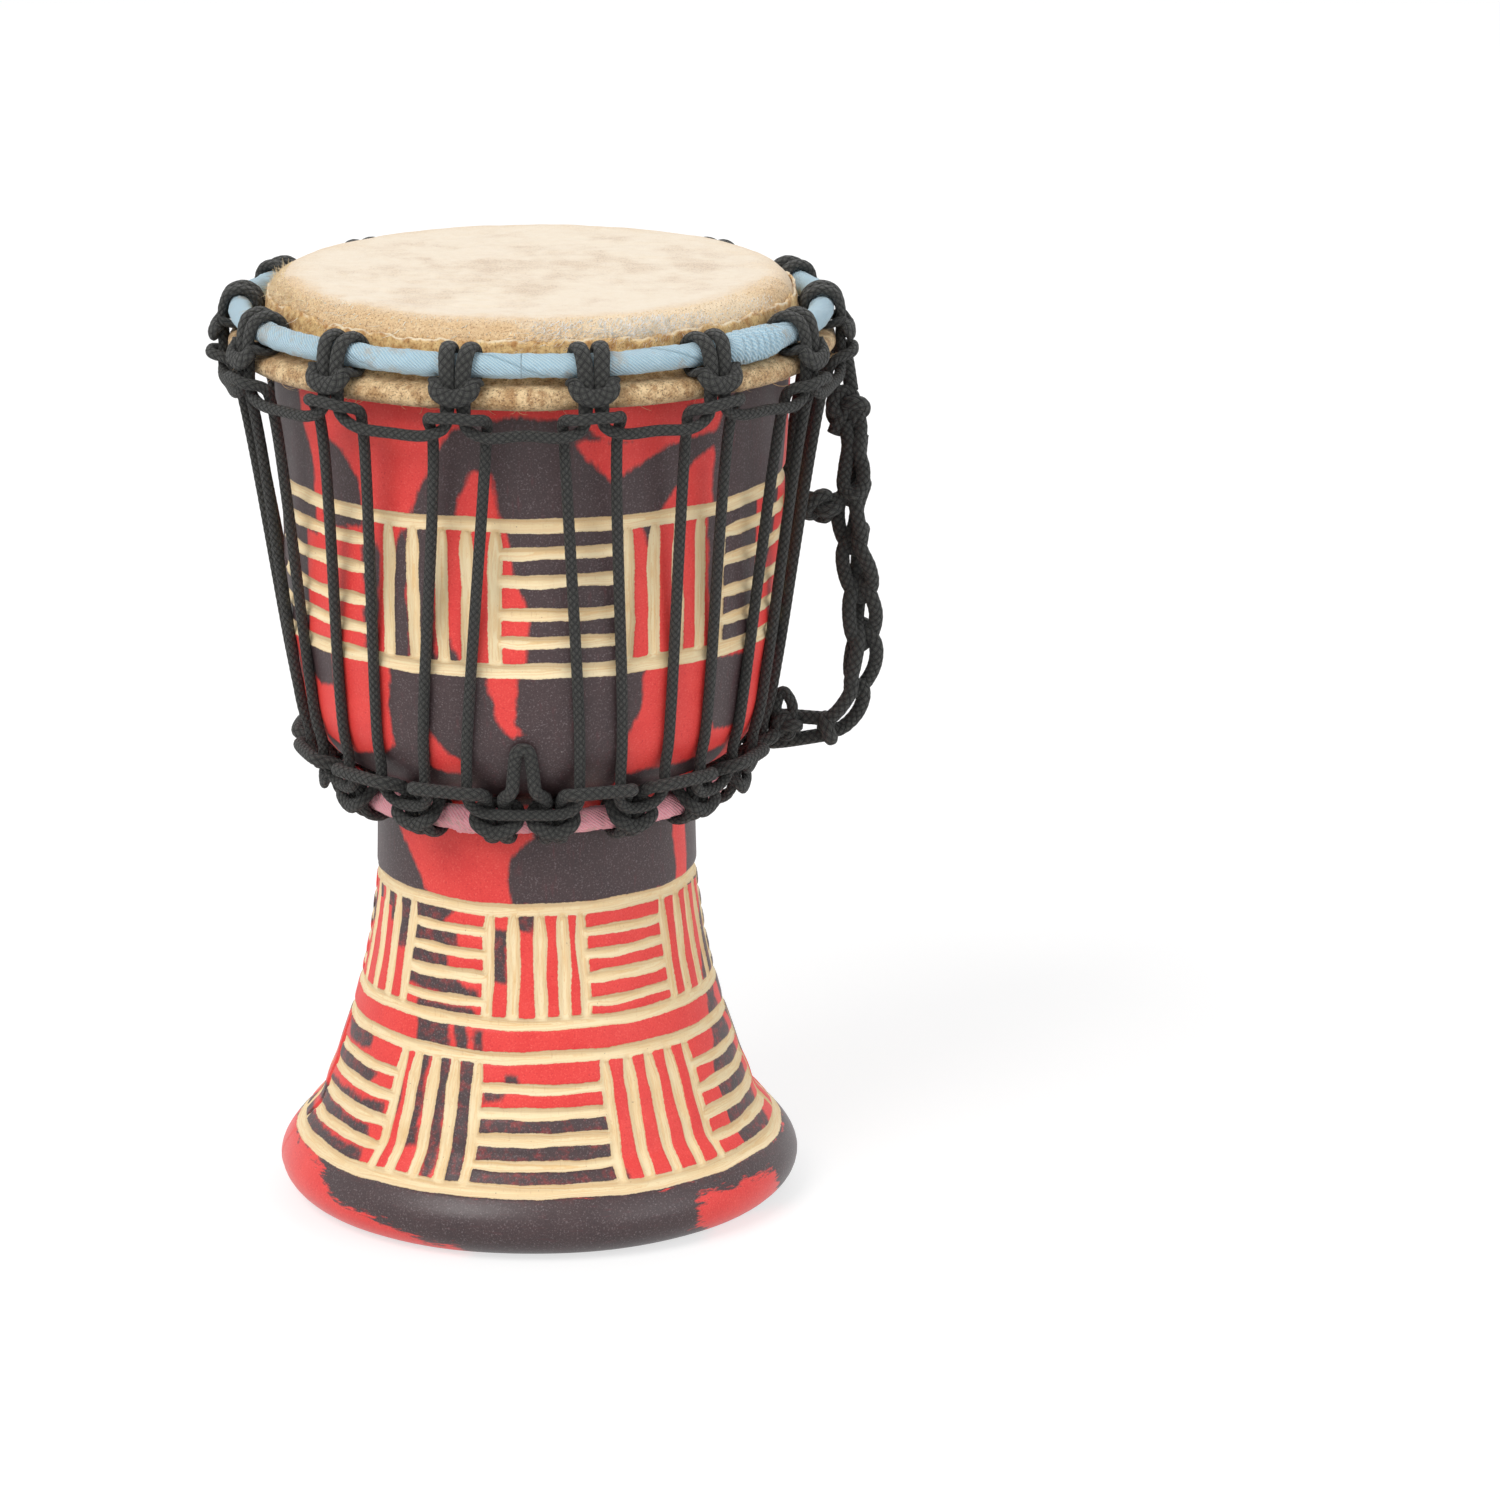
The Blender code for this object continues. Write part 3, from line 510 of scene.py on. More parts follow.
def dress(shader, height, strength, distance, **flows):
    """Links flows to the shader's inputs of the same names, and gives it bumps."""
    bump = add_node("ShaderNodeBump", {"Height": height, "Strength": strength, "Distance": distance})
    for key, flow in {"Normal": bump, **flows}.items():
        flow.tree.links.new(flow.socket, shader.inputs[key.replace("_", " ")])


def new_tree(kind, name, wanted, **inputs):
    """An empty group of nodes, its inputs by name, and the socket that ends it."""
    tree = bpy.data.node_groups.new(name, kind + "NodeTree")
    for label, sort in inputs.items():
        tree.interface.new_socket(label, in_out="INPUT", socket_type="NodeSocket" + sort)
    tree.interface.new_socket(wanted[0], in_out="OUTPUT", socket_type="NodeSocket" + wanted[1])
    given = {socket.name: Flow(socket) for socket in tree.nodes.new("NodeGroupInput").outputs}
    return tree, given, tree.nodes.new("NodeGroupOutput").inputs[0]


def flecks_group():
    """Fine specks of dust or lint: a mask between 0 and 1."""
    tree, given, end = new_tree(
        "Shader", "flecks", ("Mask", "Float"), Where="Vector", Scale="Float", Amount="Float")
    over = noise(given["Where"], given["Scale"], 2.0, 0.6) - (0.86 - given["Amount"] * 0.5)
    tree.links.new(step_up(over, 0.0, 0.08).socket, end)
    return tree


flecks = flecks_group()


def specks(where, scale, amount):
    return add_node("ShaderNodeGroup", {"Where": where, "Scale": scale, "Amount": amount},
                    node_tree=flecks)


def painted_wood():
    material, shader, where = new_material("painted_wood", 0.5)
    cut, dark, shade = (point_value(where, name) for name in ("cut", "dark", "shade"))
    high = split(where)[2]
    on_rim = step_up(high, 0.025, 0.019)
    streak = noise(stretched(where, (1.0, 1.0, 0.16)), 620.0, 3.0, 0.6)
    round_streak = noise(stretched(where, (0.22, 0.22, 1.4)), 620.0, 4.0, 0.65)
    streak = streak + on_rim * (round_streak - streak)
    patch = noise(where, 95.0, 3.0, 0.6)
    fine = noise(where, 1700.0, 2.0, 0.7)
    brushed = dark + ((streak - 0.5) * (2.2 + on_rim * 9.0) + (patch - 0.5) * 4.0)
    washed = step_up(noise(where, 260.0, 5.0, 0.75), 0.46, 0.72)
    washed = washed * (step_up(high, 0.108, 0.102) * step_up(high, 0.017, 0.026))
    black_share = step_up(brushed, -0.9, 0.9) * (1.0 - washed * 0.3)
    light_dot, deep_dot = step_up(fine, 0.54, 0.72), step_up(fine, 0.43, 0.28)
    red = layered(
        mixed(patch, (229, 48, 50), (251, 82, 74)), (deep_dot * 0.6, (206, 34, 44)),
        (light_dot * 0.5, (255, 122, 108)))
    black = layered(
        mixed(patch, (56, 41, 44), (78, 60, 61)), (light_dot * 0.7, (128, 116, 118)),
        (deep_dot * 0.6, (40, 33, 38)), (step_up(streak, 0.56, 0.80) * 0.35, (112, 52, 60)),
        (specks(where, 1300.0, 0.3), (158, 146, 142)))
    shifted = arrow("ADD", arrow("MULTIPLY", where, (85.0, 85.0, 85.0)), joined(cut * 2.6))
    strokes = noise(shifted, 1.0, 3.0, 0.6)
    fibre = noise(stretched(where, (1.0, 1.0, 0.06)), 1500.0, 4.0, 0.62)
    # Painted shade: the cut walls whose shade value is above 0 are darkened to a brown.
    painted_wall_shade = step_up(shade, 0.05, 0.75) * 0.55
    wood = layered(
        mixed(step_up(strokes, 0.35, 0.68), (255, 236, 194), (244, 210, 156)),
        (step_up(fibre, 0.54, 0.80) * 0.4, (206, 160, 106)), (painted_wall_shade, (190, 144, 96)),
        # Painted highlight: the cut walls whose shade value is below 0 are lightened.
        (step_up(shade, -0.1, -0.8) * 0.5, (255, 243, 212)),
        (specks(where, 760.0, 0.3) * 0.65, (136, 96, 62)),
        # Painted shade: a brown just inside each cut's edge, stronger on the shaded walls.
        (step_up(cut, -0.55, -0.02) * (0.12 + painted_wall_shade * 0.8), (150, 106, 66)))
    bare = step_up(cut + (fine - 0.5) * 0.45, 0.09, -0.09)
    gloss = step_up(high, 0.023, 0.016) * -0.14 + (0.44 + patch * 0.14)
    relief = (1.0 - bare) * 0.5 + (fine + (streak + strokes)) * 0.16
    dress(shader, relief, 0.5, 0.0006, Base_Color=mixed(bare, mixed(black_share, red, black), wood),
          Roughness=gloss + bare * 0.22)
    return material


wood_material = painted_wood()
throat = (40.4, SPLIT)
bowl_bore = [(72.5, 298.85), *(point for point in INSIDE[::-1] if point[1] > SPLIT), throat]
foot_bore = [throat, *(point for point in INSIDE[::-1] if point[1] < SPLIT)]
bowl_bands = ((BOWL_BORDERS, BOWL_LEVELS, BOWL_BLOCKS, 100),)
foot_bands = ((WAIST_BORDERS, WAIST_LEVELS, WAIST_BLOCKS, 600),
              (FLARE_BORDERS, FLARE_LEVELS, FLARE_BLOCKS, 900))
for name, columns, zones, bore, bands in (
        ("carved_bowl", BOWL_COLUMNS, BOWL_ZONES, bowl_bore, bowl_bands),
        ("carved_foot", FOOT_COLUMNS, FOOT_ZONES, foot_bore, foot_bands)):
    half_shell = carved_part(name, columns, zones, bore, bands, wood_material)
    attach(half_shell, "root")
    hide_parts("shell")

# The three rings
# Plain steel rod, bent to a hoop and butt welded. The skin hides the flesh ring, and cotton
# tape hides the two others.
def drawn_steel():
    material, shader, where = new_material("drawn_steel", 0.4, Metallic=1.0)
    scale = noise(where, 260.0, 4.0, 0.6)
    dress(shader, noise(where, 2400.0), 0.2, 0.0001, Roughness=0.3 + scale * 0.3,
          Base_Color=mixed(scale, (168, 168, 166), (128, 126, 124)))
    return material


steel = drawn_steel()
for ring_name in ("flesh_ring", "crown_ring", "base_ring"):
    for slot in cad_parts[ring_name].material_slots:
        slot.material = steel

# The head
# Scraped goatskin, soaked, stretched over the rounded edge of the bowl and rolled round the
# flesh ring. Its trimmed edge stands up inside the crown ring, and some hair was left on it.
CROWN_RING = (91.1, 289.2)
FLESH_RING = (91.7, 279.2)
BOWL_EDGE = (75.0, 292.9)
ROLL = (95.0, 278.6)
HEAD_TOP = 300.0
SKIN = 0.8
HEAD_COLUMNS = 488
INNER_STEP = 4
UNITS = 14
PITCH = 360.0 / UNITS


def about(centre, distance, direction):
    """A place beside a ring's rod, in (distance from the drum's axis, height)."""
    turn = math.radians(direction)
    return (centre[0] + distance * math.cos(turn), centre[1] + distance * math.sin(turn))


def between_hitches(angle):
    """0 at each hitch of the crown ring and 1 midway between two of them."""
    return 0.5 + 0.5 * np.cos(np.radians(angle) * UNITS)


def goatskin_mesh(material):
    """The skin from the head's middle, over the bowl's edge and round the flesh ring, to its
    trimmed edge, and back inside. It keeps how far along the skin each point lies."""
    over = [about(BOWL_EDGE, 6.7, direction) for direction in (90, 60, 30, 0)]
    roll = [about(FLESH_RING, 3.1, direction) for direction in (215, 262, 309, 356, 43, 90)]
    flap = [about(CROWN_RING, gap, direction)
            for gap, direction in ((7.05, 252), (7.45, 228), (7.9, 204))]
    edge = [(83.1, 290.0), (82.8, 292.6), (82.3, 295.1)]
    flat = [(r, HEAD_TOP - SKIN / 2) for r in (0.5, 20, 40, 60)]
    middle = flat + over + [(81.7, 287.4)] + roll + flap + edge
    line, run = smooth_run([(r, z, 0) for r, z in middle], 0.8)
    slope = np.gradient(line[:, :2], axis=0)
    slope /= np.linalg.norm(slope, axis=1)[:, None]
    aside = np.column_stack([-slope[:, 1], slope[:, 0]]) * SKIN / 2
    angles = 360.0 / HEAD_COLUMNS * np.arange(HEAD_COLUMNS)
    sag = between_hitches(angles)
    end = run[-1]
    roll_middle = run[np.argmin(np.hypot(line[:, 0] - ROLL[0], line[:, 1] - ROLL[1]))]
    trim = 0.6 * waver(angles, 31, 29) + 0.45 * waver(angles, 32, 7) + 0.35 * waver(angles, 33, 2.3)
    lean = 0.35 * sag * (0.9 + 0.5 * waver(angles, 34, 40))

    def shaped(point, along, thick):
        radius, height = np.full(HEAD_COLUMNS, point[0]), np.full(HEAD_COLUMNS, point[1])
        top = 1 - np.clip((along - 60) / 12, 0, 1)
        ripple = 0.10 * waver(angles + along * 0.8, 41, 21) + 0.07 * waver(along + angles, 42, 7)
        height += thick * ripple * np.clip(along / 30, 0, 1) * np.clip((84 - along) / 4, 0, 1)
        height += 0.12 * top * waver(np.radians(angles) * along, 43, 26) * thick
        on_roll = np.clip(1 - abs(along - roll_middle) / 9.0, 0, 1)
        lump = 0.45 * waver(angles, 44, 17) + 0.3 * waver(angles + along * 2, 45, 6.5)
        swell = on_roll * (0.55 * sag + lump * (0.35 + 0.65 * sag))
        away = np.array(point) - FLESH_RING
        away = away / (np.linalg.norm(away) + 1e-9)
        radius += swell * away[0]
        height += swell * away[1] * (1.0 if away[1] > 0 else 0.25)
        standing = np.clip((along - (end - 7.5)) / 7.5, 0, 1)
        radius += standing * lean + 0.35 * standing * waver(angles + 2 * along, 46, 3.7)
        height += standing * trim
        return polar(angles, radius, height)

    rings, values = [], []

    def add_ring(ring, along, outer):
        rings.append(np.asarray(ring))
        values.append(np.tile((along, end - along, outer), (len(ring), 1)))

    add_ring([(0.0, 0.0, HEAD_TOP)], 0.0, 1.0)
    for index, along in enumerate(run):
        add_ring(shaped(line[index, :2] + aside[index], along, 1.0), along, 1.0)
    for index in range(len(run) - 1, -1, -2):
        full = run[index] > end - 12
        ring = shaped(line[index, :2] - aside[index], run[index], float(full))
        add_ring(ring[::1 if full else INNER_STEP], run[index], 0.0)
    add_ring([(0.0, 0.0, HEAD_TOP - SKIN)], 0.0, 0.0)
    along, to_edge, outer = np.vstack(values).T
    return new_piece("goatskin", np.vstack(rings), joined_rings(rings, False), material,
                     along=along, to_edge=to_edge, outer=outer)


def goat_hide():
    material, shader, where = new_material("goat_hide", 0.62, Sheen_Weight=0.12)
    along, to_edge = point_value(where, "along"), point_value(where, "to_edge")
    aside, ahead, _ = split(where)
    front = step_up(ahead, 0.015, -0.03)
    drift = noise(where, 36.0, 3.0, 0.55)
    cloud = noise(where, 85.0, 4.0, 0.6)
    dots = noise(where, 1500.0, 2.0, 0.7)
    mottle = noise(where, 300.0, 4.0, 0.65)
    haze = step_up(drift * 0.5 + cloud * 0.5, 0.42, 0.64) * step_up(along, 70.0, 58.0)
    stain = mixed(cloud, (232, 206, 172), (212, 186, 158))
    spots = step_up(dots + haze * 0.10, 0.56, 0.70)
    head = layered(
        mixed(mottle, (247, 234, 214), (238, 220, 194)), (haze * 0.6, stain),
        (spots * (0.12 + haze * 0.30), (160, 130, 106)))
    tan = layered(
        mixed(mottle, (242, 214, 168), (208, 166, 116)), (step_up(dots, 0.54, 0.68), (164, 120, 80)),
        (step_up(dots, 0.42, 0.30), (250, 226, 184)))
    brown = layered(
        mixed(step_up(mottle, 0.35, 0.68), (239, 209, 161), (176, 135, 90)),
        (step_up(cloud, 0.46, 0.62) * 0.6, (176, 134, 84)),
        (step_up(dots, 0.52, 0.66) * 0.75, (96, 64, 40)),
        (step_up(dots, 0.42, 0.30) * 0.75, (240, 214, 170)))
    gold = layered(
        mixed(step_up(mottle, 0.36, 0.66), (244, 208, 146), (186, 134, 76)),
        (step_up(dots, 0.52, 0.68) * 0.7, (134, 88, 48)))
    wander = along + (cloud - 0.5) * 22.0
    rim = step_up(wander, 65.0, 80.0) * (0.45 + front * 0.5)
    bearing = maths("ARCTAN2", aside, ahead * -1.0)
    tuft = step_up(bearing, 0.0, 0.35) * step_up(bearing, 1.25, 1.0) * step_up(wander, 70.0, 78.0)
    trimmed = step_up(to_edge + mottle * 1.6, 1.7, 0.9) * step_up(cloud, 0.38, 0.56)
    colour = layered(
        head, (rim, tan), (tuft * 0.75, (246, 228, 198)), (step_up(along, 88.0, 93.0), brown),
        (step_up(to_edge, 13.0, 10.0), gold), (trimmed, (250, 232, 200)))
    fur = noise(stretched(where, (1.0, 1.0, 0.4)), 1300.0, 3.0, 0.7)
    dress(shader, dots * 0.15 + step_up(along, 72.0, 90.0) * fur, 0.7, 0.0006,
          Base_Color=colour, Roughness=0.5 + mottle * 0.25)
    return material


goatskin = goatskin_mesh(goat_hide())
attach(goatskin, "root")
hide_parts("goatskin_head")

# The hair left on the skin
# Short goat hair on the roll and round the edge of the head, in clumps, and longer white
# hairs that were missed by the knife. Each grows out of the skin and lies over.
# Each is (name, how many, length, thickness, angles, zone along the skin from the middle of
# the head, comb as (outward, aside, upward), spread, colour, seed).
HAIR_GROUPS = (
    ("pale_stubble", 5600, 1.5, 0.15, (0, 360), (102, 115), (0, 1, -0.6), 1.2, (236, 208, 162), 3),
    ("dark_stubble", 4800, 1.5, 0.15, (0, 360), (102, 115), (0, 1, -0.6), 1.2, (140, 102, 66), 4),
    ("edge_stubble", 4600, 1.8, 0.14, (-84, 84), (72, 84), (1, -0.4, -0.3), 1.3, (238, 208, 162), 5),
    ("dark_edge", 1500, 1.5, 0.12, (-84, 84), (75, 84), (1, -0.4, -0.3), 1.3, (150, 112, 76), 6),
    ("white_hair", 420, 9.0, 0.13, (2, 34), (76, 84), (1, -1.1, -0.1), 0.35, (255, 250, 238), 7),
    ("white_tuft", 560, 7.0, 0.14, (16, 44), (77, 86), (1, -0.7, -0.2), 0.4, (255, 250, 238), 14),
    ("white_edge", 620, 5.0, 0.13, (30, 70), (78, 88), (1, -0.2, -0.4), 0.6, (255, 250, 238), 15),
    ("long_hair", 170, 8.0, 0.14, (-60, 30), (75, 83), (1, -0.5, 0.1), 1.0, (255, 244, 222), 8),
    ("left_fur", 1100, 5.6, 0.15, (-104, -52), (76, 85), (1, 0.3, 0.5), 1.2, (244, 216, 172), 11),
    ("roll_strays", 150, 5.5, 0.14, (0, 360), (101, 108), (0.6, 0.4, -1.4), 1.2, (226, 184, 128), 12),
    ("flap_fuzz", 2400, 1.7, 0.12, (-84, 84), (128, 135.5), (0.6, 0.5, 1), 1.1, (240, 206, 148), 13),
)


def hair_tree():
    """Scatters bent, tapering hairs over the faces of a skin."""
    tree, given, end = new_tree(
        "Geometry", "hair", ("Geometry", "Geometry"), Geometry="Geometry", Density="Float",
        Length="Float", Thickness="Float", Comb="Vector", Spread="Float", Seed="Int", Material="Material")
    spots = add_node("GeometryNodeDistributePointsOnFaces", {
        "Mesh": given["Geometry"], "Density": given["Density"], "Seed": given["Seed"]})
    bend = add_node("GeometryNodeCurveQuadraticBezier", {
        "Resolution": 4, "Start": (0, 0, -0.05), "Middle": (0.25, 0, 0.42),
        "End": (0.92, 0, 0.34)}, tree=tree)
    share = add_node("GeometryNodeSplineParameter", tree=tree)
    width = (1.05 - share * 0.9) * (given["Thickness"] / given["Length"])
    outline = add_node("GeometryNodeCurvePrimitiveCircle", {"Resolution": 3, "Radius": 1.0}, tree=tree)
    hair = add_node("GeometryNodeCurveToMesh", {
        "Curve": bend, "Profile Curve": outline, "Scale": width, "Fill Caps": True})
    outward, aside, upward = split(given["Comb"])
    level = arrow("MULTIPLY", add_node("GeometryNodeInputPosition", tree=tree), (1, 1, 0))
    away = arrow("NORMALIZE", level)
    lie = joined(0.0, 0.0, upward)
    for way, reach in ((away, outward), (arrow("CROSS_PRODUCT", (0, 0, 1), away), aside)):
        lie = arrow("ADD", lie, arrow("MULTIPLY", way, joined(reach, reach, reach)))
    upright = add_node("FunctionNodeAlignRotationToVector", {"Vector": spots.also("Normal")}, axis="Z")
    combed = add_node("FunctionNodeAlignRotationToVector", {"Rotation": upright, "Vector": lie},
                      axis="X", pivot_axis="Z")
    spin = add_node("FunctionNodeRandomValue", {
        "Min": joined(-0.3, -0.1, given["Spread"] * -1.0), "Max": joined(0.3, 0.55, given["Spread"]),
        "Seed": given["Seed"]}, data_type="FLOAT_VECTOR")
    turned = add_node("FunctionNodeRotateRotation", {"Rotation": combed, "Rotate By": spin},
                      rotation_space="LOCAL")
    size = add_node("FunctionNodeRandomValue", {2: 0.5, 3: 1.25, "Seed": given["Seed"]}, out=1,
                    data_type="FLOAT") * given["Length"]
    hairs = add_node("GeometryNodeInstanceOnPoints", {
        "Points": spots, "Instance": hair, "Rotation": turned, "Scale": size})
    return finished(tree, given, end, hairs)


def finished(tree, given, end, shape):
    """Makes a tree's repeats real, gives them the material, and ends the tree there."""
    real = add_node("GeometryNodeRealizeInstances", {0: shape})
    done = add_node("GeometryNodeSetMaterial", {"Geometry": real, "Material": given["Material"]})
    tree.links.new(done.socket, end)
    return tree


def read_out(items, field, width, kind=float):
    """One field of all the items of a mesh, as rows of numbers."""
    values = np.empty(len(items) * width, kind)
    items.foreach_get(field, values)
    return values.reshape(-1, width)


def made_by(tree, piece, **inputs):
    """Runs a geometry tree on a piece and keeps the result as the piece's plain mesh."""
    making = piece.modifiers.new("making", "NODES")
    making.node_group = tree
    for item in tree.interface.items_tree:
        if item.in_out == "INPUT" and item.name in inputs:
            making[item.identifier] = inputs[item.name]
    graph = bpy.context.evaluated_depsgraph_get()
    result = bpy.data.meshes.new_from_object(
        piece.evaluated_get(graph), preserve_all_data_layers=True, depsgraph=graph)
    piece.modifiers.remove(making)
    piece.data = result
    result.name = piece.name
    result.calc_loop_triangles()
    corners = read_out(result.vertices, "co", 3)[read_out(result.loop_triangles, "vertices", 3, int)]
    if np.einsum("ij,ij->", corners[:, 0], np.cross(corners[:, 1], corners[:, 2])) < 0:
        result.flip_normals()
    return piece


def hair_material(name, colour):
    material, shader, where = new_material(name, 0.5, Sheen_Weight=0.3)
    light = tuple(min(255, value + 18) for value in colour)
    deep = tuple(value * 0.93 for value in colour)
    dress(shader, noise(where, 3000.0), 0.2, 0.0001,
          Base_Color=mixed(step_up(noise(where, 420.0, 2.0, 0.6), 0.35, 0.68), light, deep))
    return material


def hair_bed(name, spans, zone, material):
    """The patch of the skin that one kind of hair grows on."""
    mesh = goatskin.data
    places = read_out(mesh.vertices, "co", 3) / MM
    along, outer = (read_out(mesh.attributes[label].data, "value", 1)[:, 0]
                    for label in ("along", "outer"))
    angle = np.degrees(np.arctan2(places[:, 0], -places[:, 1]))
    apart = np.abs((angle - sum(spans) / 2 + 180) % 360 - 180)
    wanted = (apart <= (spans[1] - spans[0]) / 2) & (outer > 0.5)
    wanted &= (along >= zone[0]) & (along <= zone[1])
    faces = [list(face.vertices) for face in mesh.polygons if wanted[list(face.vertices)].all()]
    return new_piece(name, places, faces, material)


hair_maker = hair_tree()
for name, count, length, thickness, spans, zone, comb, spread, colour, seed in HAIR_GROUPS:
    material = hair_material(name, colour)
    bed = hair_bed(name, spans, zone, material)
    area = sum(face.area for face in bed.data.polygons)
    made_by(hair_maker, bed, Density=count / area, Length=length * MM, Thickness=thickness * MM,
            Comb=comb, Spread=spread, Seed=seed, Material=material)
    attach(bed, "root")

# The cotton tape
# Strips of dyed cotton twill, wound slantwise round the crown ring and the base ring so that
# the rope grips them, with each turn lapped over the last.
# Each is (name, node, the ring's radius and height, turns of the tape, corners round the
# ring, light and deep colour, seed, lap, and where and how far the tape is gathered).
TAPES = (
    ("blue_tape", "crown_ring_tape", 91.1, 289.2, 11, 1500, (208, 230, 240), (146, 190, 214), 61,
     0.55, 0.137, 1.7),
    ("pink_tape", "base_ring_tape", 58.9, 137.4, 13, 1000, (255, 194, 202), (255, 148, 164), 71,
     0.7, 0.955, 0.8),
)
ROD_RADIUS = 3.4
TAPED_RADIUS = 3.8
TAPE_SIDES = 26


def stored(shape, name, value, kind="FLOAT"):
    """A shape that keeps a value at its points."""
    return add_node("GeometryNodeStoreNamedAttribute", {"Geometry": shape, "Name": name, "Value": value},
                    data_type=kind, domain="POINT")


def kept(tree, name, kind="FLOAT"):
    """What the shape keeps at its points under this name."""
    return add_node("GeometryNodeInputNamedAttribute", {"Name": name}, tree=tree, data_type=kind)


def numbered_ring(tree, corners, name):
    """A round outline that keeps how far round each of its points is, from 0 to 1."""
    ring = add_node("GeometryNodeCurvePrimitiveCircle", {"Resolution": corners, "Radius": 1.0}, tree=tree)
    return stored(ring, name, add_node("GeometryNodeInputIndex", tree=tree) / corners)


def tape_tree():
    """Winds a band round a ring: a round rod whose skin steps where the turns overlap."""
    tree, given, end = new_tree(
        "Geometry", "wound_tape", ("Geometry", "Geometry"), Geometry="Geometry", Ring="Float",
        Height="Float", Rod="Float", Lap="Float", Turns="Float", Steps="Int", Seed="Float",
        Gathered="Float", Gather="Float", Material="Material")
    skin = add_node("GeometryNodeCurveToMesh", {
        0: numbered_ring(tree, given["Steps"], "around"), 1: numbered_ring(tree, TAPE_SIDES, "turn")})
    around, turn = kept(tree, "around"), kept(tree, "turn")
    angle, phase = around * math.tau, turn * math.tau
    east, north = maths("SINE", angle), maths("COSINE", angle)
    out, up = maths("COSINE", phase), maths("SINE", phase)
    lap = around * given["Turns"] + turn
    share = maths("FRACT", lap)
    height = step_up(share, 0.0, 0.045, "LINEAR") * (1.0 - share * 0.85)
    rumple = add_node("ShaderNodeTexNoise", {
        "Vector": joined(east * given["Ring"], north * given["Ring"], phase), "W": given["Seed"],
        "Scale": 150.0, "Detail": 3.0, "Roughness": 0.5}, noise_dimensions="4D")
    creases = noise(joined(lap * 4.0, around * 110.0, given["Seed"]), 1.0, 3.0, 0.6)
    proud = given["Lap"] * (height + (rumple + creases - 1.0) * 2.2)
    folds = maths("ABSOLUTE", maths("SINE", around * 640.0 + rumple * 5.0))
    gathered = step_up(maths("ABSOLUTE", around - given["Gathered"]), 0.027, 0.010)
    rod = given["Rod"] + (proud + gathered * (given["Gather"] * (0.35 + folds * 0.65)))
    reach = given["Ring"] + rod * out
    place = joined(reach * east, reach * north * -1.0, given["Height"] + rod * up)
    skin = add_node("GeometryNodeSetPosition", {"Geometry": skin, "Position": place})
    return finished(tree, given, end, stored(skin, "lay", joined(out, up, around), "FLOAT_VECTOR"))


def wrapped_turn(where):
    """How far round its middle a cord or rod is, from -0.5 to 0.5, and how far along it."""
    out, up, along = split(point_value(where, "lay", out=1))
    return maths("ARCTAN2", up, out) / math.tau, along


def cotton_twill(name, light, deep, ring, turns):
    material, shader, where = new_material(name, 0.85, Sheen_Weight=0.2)
    turn, around = wrapped_turn(where)
    length, girth = around * (math.tau * ring), turn * (math.tau * TAPED_RADIUS)
    ribs = maths("SINE", (length * 0.9 + girth) * (math.tau / 1.15))
    weft = maths("SINE", (girth - length) * (math.tau / 0.9))
    cloth = ribs * 0.38 + weft * 0.16 + 0.5
    middle = tuple(0.6 * a + 0.4 * b for a, b in zip(light, deep))
    soil = step_up(noise(where, 90.0, 5.0, 0.75), 0.52, 0.66) * 0.55
    # Painted shade: a darker line along the step where each turn laps over the one before.
    lap = maths("FRACT", around * float(turns) + turn)
    colour = layered(
        mixed(noise(where, 130.0, 4.0, 0.6), light, middle), (step_up(cloth, 0.6, 0.1) * 0.75, deep),
        (soil, (184, 170, 150)), (step_up(lap, 0.05, 0.0) * 0.5, tuple(value * 0.66 for value in deep)))
    dress(shader, cloth * 0.5 + noise(where, 420.0, 3.0, 0.6), 0.9, 0.0007, Base_Color=colour)
    return material


tape_maker = tape_tree()
for name, node, radius, height, turns, steps, light, deep, seed, lap, gathered, gather in TAPES:
    material = cotton_twill(name, light, deep, radius, turns)
    tape = made_by(
        tape_maker, new_piece(name, [(0, 0, 0)], [], material), Ring=radius * MM, Height=height * MM,
        Rod=ROD_RADIUS * MM, Lap=lap * MM, Turns=float(turns), Steps=steps, Seed=float(seed),
        Gathered=gathered, Gather=gather * MM, Material=material)
    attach(tape, "root")
    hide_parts(node)

# The lacing
# Black braided polyester rope in three lengths. One ties loops to the crown ring, one ties
# loops to the base ring, and the longest runs up and down between the two sets of loops.
ROPE = 3.4
ON_RING = 5.6
LEG = 2.9
BASE_ROPE = 4.0
# Places are (distance from the drum's axis, height). Between two hitches the rope runs straight,
# from LOOP_REACH beside one to LOOP_REACH beside the next, and is LOOP_FLAT out at the middle.
LOOP_HEIGHT = 268.7
LOOP_RADIUS = 96.9
LOOP_REACH = 9.0
LOOP_FLAT = LOOP_RADIUS * math.cos(math.radians(PITCH / 2 - math.degrees(LOOP_REACH / LOOP_RADIUS)))
BASE_RING = (58.9, 137.4)
FIRST_HITCH = 5.5
SPARE_LOOP = 16.0
BASE_PITCH = (360.0 - SPARE_LOOP) / UNITS
BASE_SPREAD = 0.235 * BASE_PITCH
BASE_LOOP = (76.2, 150.5)
# An upright rope crosses a base hitch at BRIDGE, rises through a base loop at
# FOOT_OF_VERTICAL, and lies on the bowl at TOUCHES.
FOOT_OF_VERTICAL = 72.5
BRIDGE = (69.6, 142.4)
TOUCHES = ((77.6, 176.9), (75.1, 163.0), (72.8, 154.9))
PLAITS = 6.0
STITCH = 2.5


